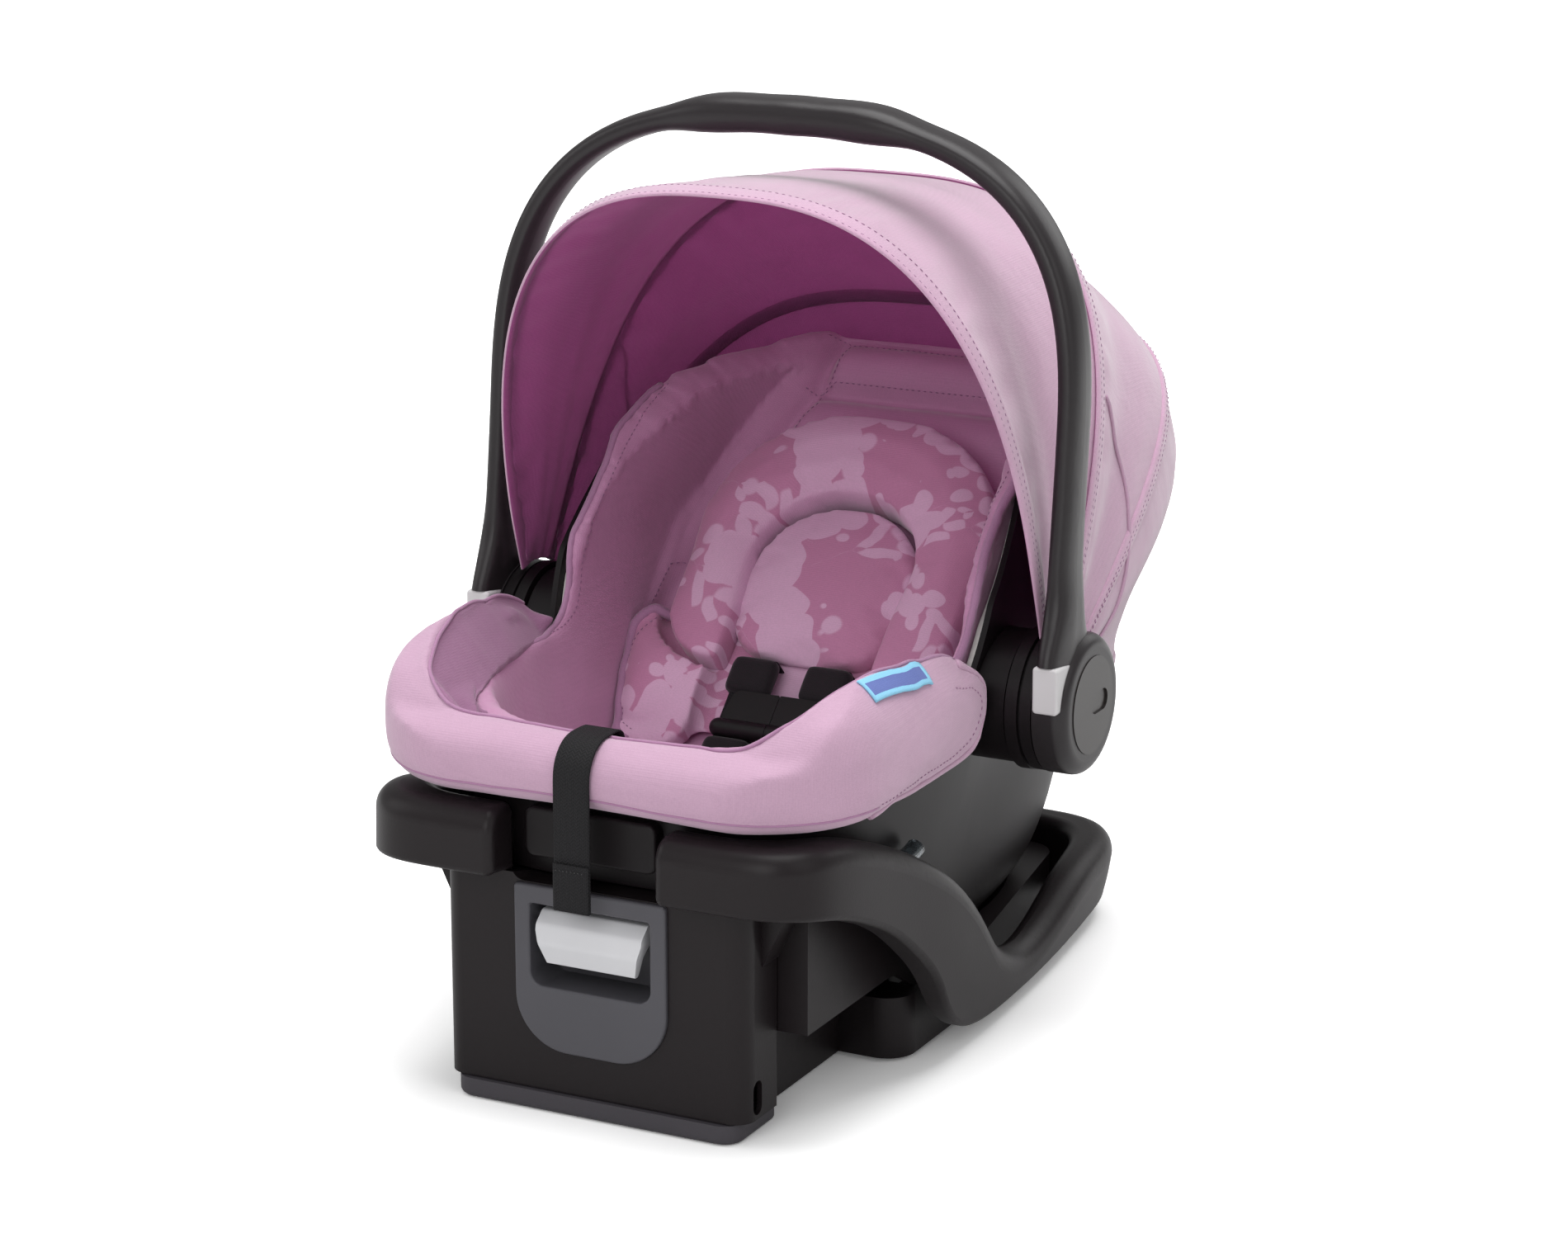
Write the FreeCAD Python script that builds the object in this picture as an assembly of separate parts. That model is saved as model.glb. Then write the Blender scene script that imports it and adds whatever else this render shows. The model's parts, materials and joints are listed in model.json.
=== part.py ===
import FreeCAD, Part
import math
import os

# Infant car seat with its base. Millimetres, +Z up, -Y towards the occupant's feet, +X to the right as
# seen from there. The sections are laid out about the handle's axis (Y = 0); every solid is moved by
# -ORIGIN_Y on export, so that the origin is the bottom centre of the whole.

V = FreeCAD.Vector
AXIS_X = V(1, 0, 0)

# ---- overall ----
HUB_Z = 228.0              # handle axis above the floor
SOFT_GAP = 0.3             # soft solids stay this far from what they lie on
RUN_GAP = 0.05             # radial clearance of a pin in a running bore
WALL = 3.5                 # moulded wall of the base

# ---- base: tower, rim and tub ----
TOWER_FRONT = -262.0
TOWER_BACK = -218.0
TOWER_HALF = 106.0
TOWER_BOTTOM = 14.0
TOWER_TOP = 149.0
HORN_UNDER = 160.0
CORNER_R = 13.0
DOCK_HALF = 56.0           # half width of the cut between the horns
HORN_END = -196.0          # the horns are solid ahead of this line, the band behind it is hollow
RIM_TAPER = 14.0           # the band's outline at the floor lies this far inside the one higher up
RIM_TAPER_Z = 74.0
RIM_EDGE_R = 15.0
HORN_R = 6.0
RIM_PLAN = ((0, -286), (60, -286), (105, -285.5), (136, -280), (153, -264), (160.5, -238), (164, -180),
            (167.5, -100), (168, -40), (165.5, 40), (159, 120), (150, 195), (141, 236), (125, 260), (98, 271),
            (50, 272), (0, 272))
RIM_INNER = ((0, -256), (50, -256), (85, -255.5), (110, -251), (124, -238), (130, -216), (134, -175),
             (137, -100), (137.5, -40), (135.5, 40), (129, 120), (120, 190), (111, 220), (98, 235), (74, 241.5),
             (40, 242), (0, 242))
RIM_TOP = ((-306, 197), (-262, 198), (-232, 195), (-202, 187), (-160, 171), (-119, 151), (-83, 129), (-56, 107),
           (-33, 84), (-12, 64), (12, 50), (40, 41), (72, 41), (108, 48), (150, 58), (200, 62), (300, 63))
RIM_LOW = ((-306, 156), (-273, 155), (-238, 148), (-202, 134), (-170, 117), (-147, 100), (-126, 82), (-111, 65),
           (-98, 47), (-82, 32), (-60, 20), (-28, 13), (25, 11), (91, 11), (200, 13), (300, 17))
TUB_HALF = 126.0
PAN_HALF = 132.0
PAN_REAR_HALF = 94.0
PAN_REAR = 238.0
KEEL_HALF = 87.0
PAD_H = 3.0                # rubber pads under the tub
WINDOW_X = 140.0           # level indicator: a ball in a bent tube along the rim's inner edge
WINDOW_Y = -112.0
WINDOW_Z = 206.0
BALL_SWING = 60.0
BALL_R = 3.6
WINDOW_R = 6.2
WINDOW_WALL = 1.8
WINDOW_ANGLE = 17.0

# ---- bezel, lever and recline foot ----
BEZEL_HALF = 53.0
BEZEL_BOTTOM = 41.0
BEZEL_T = 9.0
BEZEL_PROUD = 3.0
POCKET_HALF = 42.0
POCKET_LOW = 83.0
POCKET_HIGH = 136.0
POCKET_DEPTH = 34.0
LEVER_HALF = 37.0
LEVER_PIN_R = 2.5
LEVER_PIN_Y = -249.0
LEVER_PIN_Z = 125.0
FOOT_HALF = 100.0
FOOT_FRONT = -265.0
FOOT_BACK = -209.0
FOOT_H = 13.0
FOOT_POST_TOP = 78.0

# ---- carrier shell: (height, half width, front, rear, corner power) of each outside section ----
SHELL_SECTIONS = (
    (34.0, 92.0, -150.0, 186.0, 3.0),
    (60.0, 112.0, -205.0, 226.0, 3.4),
    (100.0, 124.0, -236.0, 246.0, 3.6),
    (160.0, 134.0, -250.0, 264.0, 3.6),
    (230.0, 151.0, -258.0, 286.0, 3.4),
    (300.0, 158.0, -258.0, 300.0, 3.0),
    (360.0, 150.0, -258.0, 286.0, 2.8),
    (420.0, 134.0, -258.0, 254.0, 2.6),
)
SHELL_WALL = 4.0
DOCK_GAP = 4.0             # sideways clearance of the shell in the tub
SEAT_GAP = 0.4             # the shell's floor over the tub's floor
STEP_Y = -212.0            # the shell's front steps over the tower: behind this line it is full depth
STEP_Z = 152.0
FOAM_T = 6.0
FOAM_DROP = 16.0           # the foam ends this far below the shell's edge
LINER_T = 8.0
SHELL_RIM = ((-320, 232), (-170, 236), (-48, 240), (-22, 292), (40, 352), (105, 376), (320, 392))
LINER_RISE = 12.0          # the liner's edge stands this far above the shell's edge

# ---- seat surfaces: the occupant's back lies on a slope, the legs on a shallow well ----
BACK_ANGLE = 45.0
BACK_Y = 50.0
BACK_Z = 215.0
WELL = ((-246, 500), (-246, 236), (-200, 196), (-120, 150), (-55, 143), (10, 175), (222, 387), (246, 500))
WELL_RADII = (0, 14, 30, 40, 40, 40, 30, 0)

# ---- hubs and handle ----
SOCKET_IN = 143.0          # the fixed hub housing starts inside this line and is cut to the shell
SOCKET_OUT = 195.5         # half width over the fixed housings: the caps, the arms and the canopy follow it
HUB_R = 46.0
CAP_IN = SOCKET_OUT + 1.0
CAP_OUT = CAP_IN + 22.5
BOLT_R = 8.0
ARM_TOP = 396.0            # the arms are straight up to here
HANDLE_TOP = 600.0
HANDLE_LOW_Y = -24.0       # the arch leans back from here, just above the hubs, to its top
HANDLE_TOP_Y = 14.0
ARM_T = 15.5
ARM_W = 33.0
GRIP_T = 25.0
GRIP_W = 38.0
GRIP_HALF = 54.0
GRIP_EASE = 44.0           # the grip thins into the arms over this length
HANDLE_POWER = 2.78
ARM_PLAY = 0.4             # the arms' inner faces lie this far outside the caps' inner ends
HANDLE_HALF = CAP_IN + ARM_PLAY + ARM_T
DISC_R = 32.0
BUTTON_W = 18.0
BUTTON_H = 31.0
BUTTON_LOW = 232.0

# ---- canopy: three nested panels swept about the handle axis ----
CANOPY_T = 1.5
CANOPY_FOOT = 47.5         # the panels start this far from the handle axis
FRONT_ANGLE = -16.0        # degrees back from straight up
MID_ANGLE = 27.0
REAR_ANGLE = 55.0
HEM_ANGLE = 98.0
PANEL_LAP = 1.0            # a panel ends this many degrees under the next one
BOW_SPAN = 1.6             # degrees that a bow strip covers
BOW_PLAY = 0.05
CANOPY_HALF = SOCKET_OUT - 6.5
CANOPY_APEX = HANDLE_TOP - HUB_Z - 36.0
# half width, apex radius and corner power of the inside of each panel, front to rear
PANELS = ((CANOPY_HALF, CANOPY_APEX, 2.66), (CANOPY_HALF + 2.0, CANOPY_APEX + 2.4, 2.9),
          (CANOPY_HALF + 4.2, CANOPY_APEX + 5.4, 3.75))
MIDDLE_END_POWER = 3.5     # the middle panel squares up towards the rear bow

# ---- pad over the shell's front edge ----
ROLL_FRONT = -283.0
ROLL_HALF = 172.0
ROLL_REAR = -48.0
ROLL_LOW = 200.0
ROLL_HIGH = 248.0
ROLL_R = 22.0
ROLL_CORNER = 84.0
# how far the outside lies in at each height: it rounds under the lower edge and in towards the flaps' crests
ROLL_SWELL = ((ROLL_LOW, 12.0), (206.0, 5.0), (214.0, 1.0), (224.0, 0.0), (246.0, 0.0), (258.0, 2.0), (268.0, 6.0),
              (278.0, 13.0), (288.0, 23.0), (300.0, 38.0))

# ---- cushions on the slope of the back ----
HEAD_HALF = 113.0
HEAD_INNER = 62.0
HEAD_T = 40.0
HEAD_PAD_T = 20.0
BODY_HALF = 140.0
BODY_T = 10.0
LOBE_T = 30.0

# ---- harness ----
STRAP_W = 25.0
STRAP_T = 1.6
STRAP_END = 143.0
STRAP_X = 27.0
STRAP_SLOT = -19.0         # the shoulder straps come out just below the head cushion
STRAP_BEND = -98.0         # below here they turn towards the buckle
CLIP_V = -61.0
CLIP_LOW = 26.0
CLIP_HALF = 43.0
BUCKLE_Y = -92.0
BUCKLE_Z = 156.0
BUCKLE_STRAP = 30.0
BUTTON_TRAVEL = 2.5
CROTCH_LOW = 148.5
STRAP_FOLD = 173.0         # the hanging end is folded back and sewn up to here

# ---- the lofted panels: (angle, half width, apex radius, corner power) of their insides ----
MIDDLE_SECTIONS = ((MID_ANGLE + BOW_SPAN + BOW_PLAY, PANELS[1][0], PANELS[1][1], PANELS[1][2]),
                   (MID_ANGLE + 14.0, PANELS[1][0], PANELS[1][1], (PANELS[1][2] + MIDDLE_END_POWER) / 2),
                   (REAR_ANGLE + PANEL_LAP, PANELS[1][0], PANELS[1][1], MIDDLE_END_POWER))
REAR_SECTIONS = ((REAR_ANGLE + BOW_SPAN + BOW_PLAY, PANELS[2][0], PANELS[2][1], PANELS[2][2]),
                 (62.0, PANELS[2][0], PANELS[2][1], 3.7), (68.0, PANELS[2][0], PANELS[2][1], 3.6),
                 (76.0, PANELS[2][0] - 5.7, PANELS[2][1] - 1.9, 2.6),
                 (84.0, PANELS[2][0] - 10.7, PANELS[2][1] - 5.2, 2.2),
                 (92.0, PANELS[2][0] - 14.2, PANELS[2][1] - 20.9, 2.05),
                 (HEM_ANGLE, PANELS[2][0] - 15.2, PANELS[2][1] - 31.9, 2.15))
FRONT_REACH = -(ROLL_FRONT - SOFT_GAP - 2 * STRAP_T)
REAR_REACH = CANOPY_APEX + 0.2
ORIGIN_Y = (REAR_REACH - FRONT_REACH) / 2

PLANES = {
    "XY": FreeCAD.Placement(),
    "YZ": FreeCAD.Placement(V(0, 0, 0), FreeCAD.Rotation(V(1, 1, 1), 120)),
    "XZ": FreeCAD.Placement(V(0, 0, 0), FreeCAD.Rotation(V(1, 0, 0), 90)),
}


# ---------------------------------------------------------------- helpers
def outline(points, radius):
    """Closed wire in the XY plane through the corners, each rounded by the radius (or its own one)."""
    corners = [V(p[0], p[1], 0) for p in points]
    radii = radius if isinstance(radius, (list, tuple)) else [radius] * len(corners)
    starts, middles, ends = [], [], []
    for i, corner in enumerate(corners):
        back = (corners[i - 1] - corner).normalize()
        ahead = (corners[(i + 1) % len(corners)] - corner).normalize()
        half = back.getAngle(ahead) / 2
        run = radii[i] / math.tan(half)
        bisector = (back + ahead).normalize()
        starts.append(corner + back * run)
        ends.append(corner + ahead * run)
        middles.append(corner + bisector * (radii[i] / math.sin(half) - radii[i]))
    edges = []
    for i in range(len(corners)):
        if radii[i] > 0:
            edges.append(Part.Arc(starts[i], middles[i], ends[i]).toShape())
        following = starts[(i + 1) % len(corners)]
        if ends[i].distanceToPoint(following) > 1e-6:
            edges.append(Part.LineSegment(ends[i], following).toShape())
    return Part.Wire(edges)


def prism(points, radius, plane, low, high):
    """Solid with a rounded outline in the named plane, from low to high along the third axis."""
    if plane == "XZ":
        low, high = -high, -low
    face = Part.Face(outline(points, radius))
    face.translate(V(0, 0, low))
    solid = face.extrude(V(0, 0, high - low))
    solid.Placement = PLANES[plane].multiply(solid.Placement)
    return solid


def box(x0, x1, y0, y1, z0, z1):
    """Block between the named corners."""
    return Part.makeBox(x1 - x0, y1 - y0, z1 - z0, V(x0, y0, z0))


def rod_x(radius, x0, x1, y, z):
    """Cylinder along X."""
    return Part.makeCylinder(radius, x1 - x0, V(x0, y, z), AXIS_X)


def mirror_x(shape):
    """The same solid on the other side of the seat."""
    return shape.mirror(V(0, 0, 0), AXIS_X)


def rounded(shape, radius, pick):
    """Shape with the picked edges filleted."""
    return shape.makeFillet(radius, [edge for edge in shape.Edges if pick(edge)])


def superellipse(half_x, half_y, power, centre_y, start, stop, count):
    """Points of a superellipse between two angles, counted anticlockwise from +X."""
    points = []
    for i in range(count):
        angle = math.radians(start + (stop - start) * i / (count - 1))
        c, s = math.cos(angle), math.sin(angle)
        x = half_x * math.copysign(abs(c) ** (2 / power), c)
        y = half_y * math.copysign(abs(s) ** (2 / power), s)
        points.append(V(x, centre_y + y, 0))
    return points


def closed_spline(points):
    """Closed smooth wire through the points."""
    curve = Part.BSplineCurve()
    curve.interpolate(Points=points, PeriodicFlag=True)
    return Part.Wire(curve.toShape())


def open_spline(points):
    """Smooth edge through the points."""
    curve = Part.BSplineCurve()
    curve.interpolate(points)
    return curve.toShape()


def bucket(grow, rise):
    """Loft of the shell's sections, each grown sideways, with its floor lifted by rise."""
    wires = []
    for i, (z, half, front, rear, power) in enumerate(SHELL_SECTIONS):
        length = (rear - front) / 2 + grow
        points = superellipse(half + grow, length, power, (rear + front) / 2, 0, 360, 25)[:-1]
        for point in points:
            point.z = z + (rise if i == 0 else 0)
        wires.append(closed_spline(points))
    loft = Part.makeLoft(wires, True, False)
    return loft.cut(box(-300, 300, -400, STEP_Y - grow, -50, STEP_Z - grow))


def under_line(line, lift, half):
    """Everything below a side-view line, across the seat."""
    points = [(y, z + lift) for y, z in line] + [(line[-1][0], -60), (line[0][0], -60)]
    radii = [0] + [22] * (len(line) - 2) + [0, 0, 0]
    return prism(points, radii, "YZ", -half, half)


def well(drop):
    """The room above the seat's surfaces, across the seat; drop moves its outline outwards."""
    wire = outline(WELL, WELL_RADII)
    if drop:
        wire = wire.makeOffset2D(drop)
    solid = Part.Face(wire).extrude(V(0, 0, 400))
    solid.translate(V(0, 0, -200))
    solid.Placement = PLANES["YZ"].multiply(solid.Placement)
    return solid


def on_back(shape, x, along, off):
    """Puts a shape drawn flat about the origin on the slope of the back, off its surface."""
    slope = math.radians(BACK_ANGLE)
    y = BACK_Y + along * math.cos(slope) - off * math.sin(slope)
    z = BACK_Z + along * math.sin(slope) + off * math.cos(slope)
    placed = shape.copy()
    turn = FreeCAD.Placement(V(x, y, z), FreeCAD.Rotation(AXIS_X, BACK_ANGLE))
    placed.Placement = turn.multiply(placed.Placement)
    return placed


# ---------------------------------------------------------------- base
def both_sides(half):
    """Closed ring of plan points from the ones on the right-hand side."""
    return [V(x, y, 0) for x, y in half] + [V(-x, y, 0) for x, y in reversed(half) if x > 0]


def plan_wire(half, inset, z):
    """Smooth closed outline at a height, narrowed on each side by inset."""
    ring = both_sides(half)
    for point in ring:
        point.x -= math.copysign(min(inset, abs(point.x) / 4), point.x)
        point.z = z
    return closed_spline(ring)


def rim_profile(lower, raise_low):
    """Side view of the rim between its top and bottom lines."""
    top = [V(y, z - lower, 0) for y, z in RIM_TOP]
    low = [V(y, z + raise_low, 0) for y, z in reversed(RIM_LOW)]
    edges = [open_spline(top), Part.LineSegment(top[-1], low[0]).toShape(), open_spline(low),
             Part.LineSegment(low[-1], top[0]).toShape()]
    solid = Part.Face(Part.Wire(edges)).extrude(V(0, 0, 400))
    solid.translate(V(0, 0, -200))
    solid.Placement = PLANES["YZ"].multiply(solid.Placement)
    return solid


def on_line(edge, line, near):
    """True where the middle of an edge lies on a side-view line."""
    middle = edge.valueAt((edge.FirstParameter + edge.LastParameter) / 2)
    for (y0, z0), (y1, z1) in zip(line, line[1:]):
        if y0 <= middle.y <= y1:
            return abs(z0 + (z1 - z0) * (middle.y - y0) / (y1 - y0) - middle.z) < near
    return False


def long_edge(line, widest):
    """Picks the long edge that follows a side-view line and is no wider than given."""
    return lambda e: e.BoundBox.YLength > 100 and e.BoundBox.XMax < widest and on_line(e, line, 3)


def base_rim():
    """Band with two front horns, arches over the belt paths and a low rear; hollow underneath."""
    levels = ((RIM_TAPER, 0), (0, RIM_TAPER_Z), (0, 150), (0, 230))
    block = Part.makeLoft([plan_wire(RIM_PLAN, inset, z) for inset, z in levels], True, False)
    block = block.common(rim_profile(0, 0))
    block = rounded(block, RIM_EDGE_R, long_edge(RIM_TOP, 200))
    block = rounded(block, 4, long_edge(RIM_LOW, 200))
    band = block.cut(Part.Face(plan_wire(RIM_INNER, 0, -20)).extrude(V(0, 0, 300)))
    band = rounded(band, 8, long_edge(RIM_TOP, 140))
    band = band.cut(box(-DOCK_HALF, DOCK_HALF, -330, -200, 0, 300))
    band = rounded(band, HORN_R, lambda e: abs(abs(e.BoundBox.Center.x) - DOCK_HALF) < 0.5
                   and e.BoundBox.XLength < 0.5)
    hollow = Part.Face(plan_wire(RIM_PLAN, RIM_TAPER + WALL, 0)).extrude(V(0, 0, 300))
    hollow = hollow.cut(Part.Face(plan_wire(RIM_INNER, -WALL, -20)).extrude(V(0, 0, 400)))
    hollow = hollow.common(rim_profile(WALL + 2, -60)).common(box(-200, 200, HORN_END, 222, -60, 300))
    band = band.cut([hollow, box(-84, 84, 247, 265, -60, 54)])
    for sign in (-1, 1):
        band = band.cut(window_tube(WINDOW_R + 0.15, sign * WINDOW_X))
    return band


def window_tube(radius, x):
    """Bent rod that lies along the rim's inner edge, about the level ball's axis."""
    start = V(x, WINDOW_Y, WINDOW_Z - BALL_SWING)
    circle = Part.Wire(Part.Circle(start, V(0, 1, 0), radius).toShape())
    axis = V(x, WINDOW_Y, WINDOW_Z)
    circle.rotate(axis, AXIS_X, -WINDOW_ANGLE)
    return Part.Face(circle).revolve(axis, AXIS_X, 2 * WINDOW_ANGLE)


def level_window():
    """Clear bent tube with closed ends around the level ball."""
    axis = V(WINDOW_X, WINDOW_Y, WINDOW_Z)
    inner = Part.Wire(Part.Circle(V(WINDOW_X, WINDOW_Y, WINDOW_Z - BALL_SWING), V(0, 1, 0),
                                  WINDOW_R - WINDOW_WALL).toShape())
    inner.rotate(axis, AXIS_X, -WINDOW_ANGLE + 1.5)
    room = Part.Face(inner).revolve(axis, AXIS_X, 2 * WINDOW_ANGLE - 3)
    return window_tube(WINDOW_R, WINDOW_X).cut(room)


def level_ball():
    """Ball that rolls in the bent tube as the base tilts."""
    return Part.makeSphere(BALL_R, V(WINDOW_X, WINDOW_Y, WINDOW_Z - BALL_SWING))


def bezel_outline(grow):
    """Front view of the bezel plate."""
    half = BEZEL_HALF + grow
    return ((-half, BEZEL_BOTTOM - grow), (half, BEZEL_BOTTOM - grow), (half, TOWER_TOP - 1 + grow),
            (-half, TOWER_TOP - 1 + grow))


def tower_plan(inset):
    """Top view of the tower."""
    return ((-TOWER_HALF + inset, TOWER_FRONT + inset), (TOWER_HALF - inset, TOWER_FRONT + inset),
            (TOWER_HALF - inset, TOWER_BACK - inset), (-TOWER_HALF + inset, TOWER_BACK - inset))


def base_tower():
    """Hollow front block, open underneath, with the bezel's seat and a drain slot on each flank."""
    body = prism(tower_plan(0), [CORNER_R, CORNER_R, 3, 3], "XY", TOWER_BOTTOM, HORN_UNDER + 12)
    hollow = prism(tower_plan(WALL), [CORNER_R - WALL, CORNER_R - WALL, 1, 1], "XY",
                   TOWER_BOTTOM - 5, TOWER_TOP - WALL)
    gusset = prism(((106, 110), (136, HORN_UNDER + 12), (90, HORN_UNDER + 12), (90, 110)), [2, 0, 0, 0], "XZ",
                   TOWER_BACK - 22, TOWER_BACK)
    body = body.fuse([gusset, mirror_x(gusset)]).cut(hollow)
    dock = ((-DOCK_HALF, TOWER_TOP), (DOCK_HALF, TOWER_TOP), (DOCK_HALF, 400), (-DOCK_HALF, 400))
    body = body.cut(prism(dock, [9, 9, 0, 0], "XZ", -300, -150))
    seat = prism(bezel_outline(0.2), [36, 36, 3, 3], "XZ", TOWER_FRONT - 5,
                 TOWER_FRONT - BEZEL_PROUD + BEZEL_T + 0.2)
    body = body.cut(seat)
    slot = prism(((-251, 17), (-240, 17), (-240, 39), (-251, 39)), 5.4, "YZ", -TOWER_HALF - 5, TOWER_HALF + 5)
    body = body.cut(slot)
    band = Part.makeLoft([plan_wire(RIM_PLAN, 0, 0), plan_wire(RIM_PLAN, 0, 300)], True, True)
    return body.cut(band.common(rim_profile(0, -0.15)))


def front_bezel():
    """Grey plate with a finger pocket behind it and bores for the lever's pin."""
    plate = prism(bezel_outline(0), [36, 36, 3, 3], "XZ", TOWER_FRONT - BEZEL_PROUD,
                  TOWER_FRONT - BEZEL_PROUD + BEZEL_T)
    plate = plate.cut(box(-80, 80, -300, -200, TOWER_TOP - 0.5, 300))
    back = TOWER_FRONT - BEZEL_PROUD + POCKET_DEPTH
    tray = prism(((-POCKET_HALF - 4, POCKET_LOW - 4), (POCKET_HALF + 4, POCKET_LOW - 4),
                  (POCKET_HALF + 4, POCKET_HIGH + 4), (-POCKET_HALF - 4, POCKET_HIGH + 4)),
                 [12, 12, 3, 3], "XZ", TOWER_FRONT, back)
    pocket = prism(((-POCKET_HALF, POCKET_LOW), (POCKET_HALF, POCKET_LOW), (POCKET_HALF, POCKET_HIGH),
                    (-POCKET_HALF, POCKET_HIGH)), [9, 9, 2, 2], "XZ", TOWER_FRONT - 20, back - 3)
    bezel = plate.fuse(tray).cut(pocket).removeSplitter()
    bezel = bezel.cut(rod_x(LEVER_PIN_R, -POCKET_HALF - 3, POCKET_HALF + 3, LEVER_PIN_Y, LEVER_PIN_Z))
    return rounded(bezel, 1.6, lambda e: abs(e.BoundBox.YMax - (TOWER_FRONT - BEZEL_PROUD)) < 0.01
                   and e.BoundBox.ZMax < POCKET_HIGH + 1)


def adjust_lever():
    """Squeeze lever: a bent plate that hangs in the pocket from its pin."""
    side = ((-263, 98), (-268, 112), (-265.5, 124), (-257, 131), (-243, 131), (-243, 119), (-255, 117),
            (-259, 111), (-258.5, 98))
    lever = prism(side, [1.5, 8, 5, 4, 3, 3, 4, 3, 1.5], "YZ", -LEVER_HALF, LEVER_HALF)
    front = prism(((-LEVER_HALF + 9, 88), (LEVER_HALF - 9, 88), (LEVER_HALF, 120), (LEVER_HALF, 150),
                   (-LEVER_HALF, 150), (-LEVER_HALF, 120)), 2, "XZ", -280, -230)
    lever = lever.common(front)
    return lever.cut(rod_x(LEVER_PIN_R + RUN_GAP, -60, 60, LEVER_PIN_Y, LEVER_PIN_Z))


def lever_pin():
    """Steel pin across the finger pocket."""
    return rod_x(LEVER_PIN_R, -POCKET_HALF - 3, POCKET_HALF + 3, LEVER_PIN_Y, LEVER_PIN_Z)


def recline_foot():
    """Tray under the tower with two posts that run up inside it."""
    plan = ((-FOOT_HALF, FOOT_FRONT), (FOOT_HALF, FOOT_FRONT), (FOOT_HALF, FOOT_BACK), (-FOOT_HALF, FOOT_BACK))
    tray = prism(plan, [14, 14, 4, 4], "XY", 0, FOOT_H)
    tray = rounded(tray, 4, lambda e: abs(e.BoundBox.ZMax) < 0.01)
    keel_room = box(-KEEL_HALF - 1, KEEL_HALF + 1, TOWER_BACK - 1, FOOT_BACK + 5, -1, FOOT_H + 1)
    posts = [box(x - 14, x + 14, -246, -226, FOOT_H - 1, FOOT_POST_TOP) for x in (-74, 74)]
    return tray.cut(keel_room).fuse(posts).removeSplitter()


def tub_block(inset):
    """Keel, nose and pan as one block, made smaller by inset all round except underneath."""
    low = PAD_H if inset == 0 else -30
    keel_half = KEEL_HALF - inset
    front = TOWER_BACK + 0.2 + inset
    keel = prism(((-keel_half, front), (keel_half, front), (keel_half, -60), (-keel_half, -60)), [6, 6, 0, 0],
                 "XY", low, 70 - inset)
    nose = prism(((front, 62), (-96, 62), (-40, 30), (-40, 92 - inset), (-110, 132 - inset),
                  (front, 140 - inset)), [0, 30, 0, 0, 30, 0], "YZ", -TUB_HALF + inset, TUB_HALF - inset)
    half = PAN_HALF - inset
    rear_half = PAN_REAR_HALF - inset
    rear = PAN_REAR - inset
    pan = prism(((-half, -96 + inset), (half, -96 + inset), (half, 0), (rear_half, rear), (-rear_half, rear),
                 (-half, 0)), [20, 20, 200, 24, 24, 200], "XY", low, 44 - inset)
    return keel.fuse([nose, pan]).removeSplitter()


def base_tub():
    """Floor pan: a narrow keel behind the tower, a wide pan at the rear and the seat's dock."""
    tub = tub_block(0).cut(bucket(DOCK_GAP, -SEAT_GAP))
    core = tub_block(WALL).cut(bucket(DOCK_GAP + WALL, -SEAT_GAP - WALL))
    columns = [box(x - 16, x + 16, y - 26, y + 26, -40, 60) for x in (-62, 62) for y in (-150, 60, 190)]
    return tub.cut(core.cut(columns))


def base_pads():
    """Rubber pads under the pan."""
    pads = []
    for x in (-62, 62):
        for y in (-150, 60, 190):
            pad = prism(((x - 16, y - 26), (x + 16, y - 26), (x + 16, y + 26), (x - 16, y + 26)), 6,
                        "XY", 0, PAD_H)
            pads.append(pad)
    return Part.makeCompound(pads)


# ---------------------------------------------------------------- carrier
def shell():
    """Moulded bucket with a flat rocker floor and a shaped side line."""
    body = bucket(0, 0).cut(bucket(-SHELL_WALL, SHELL_WALL))
    return body.common(under_line(SHELL_RIM, 0, 240))


def nose_plate():
    """Flat plate on the shell's front, seen between the base's horns."""
    half = DOCK_HALF - 10
    plate = prism(((-half, 166), (half, 166), (half, 198), (-half, 198)), 7, "XZ", -263, -236)
    plate = rounded(plate, 2.5, lambda e: e.BoundBox.YMax < -262.9)
    return plate.cut(bucket(SOFT_GAP, 0))


def foam_liner():
    """Energy absorbing foam: a layer under the pad, shaped to the seat's surfaces."""
    gap = SHELL_WALL + SOFT_GAP
    room = LINER_T + SOFT_GAP
    body = bucket(-gap, gap).common(well(room + FOAM_T)).common(under_line(SHELL_RIM, -FOAM_DROP, 240))
    inside = bucket(-gap - FOAM_T, 0).common(well(room))
    return body.cut(inside)


def seat_liner():
    """Fabric pad: follows the foam and stands a little above the shell's edge."""
    gap = SHELL_WALL + FOAM_T + 2 * SOFT_GAP
    body = bucket(-gap, 0).common(well(LINER_T)).common(under_line(SHELL_RIM, LINER_RISE, 240))
    inside = bucket(-gap - LINER_T, 0).common(well(0))
    return body.cut(inside)


def seat_room():
    """The room inside the fabric pad, less the soft clearance."""
    inset = SHELL_WALL + FOAM_T + LINER_T + 3 * SOFT_GAP
    return bucket(-inset, 0).common(well(-SOFT_GAP))


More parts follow.
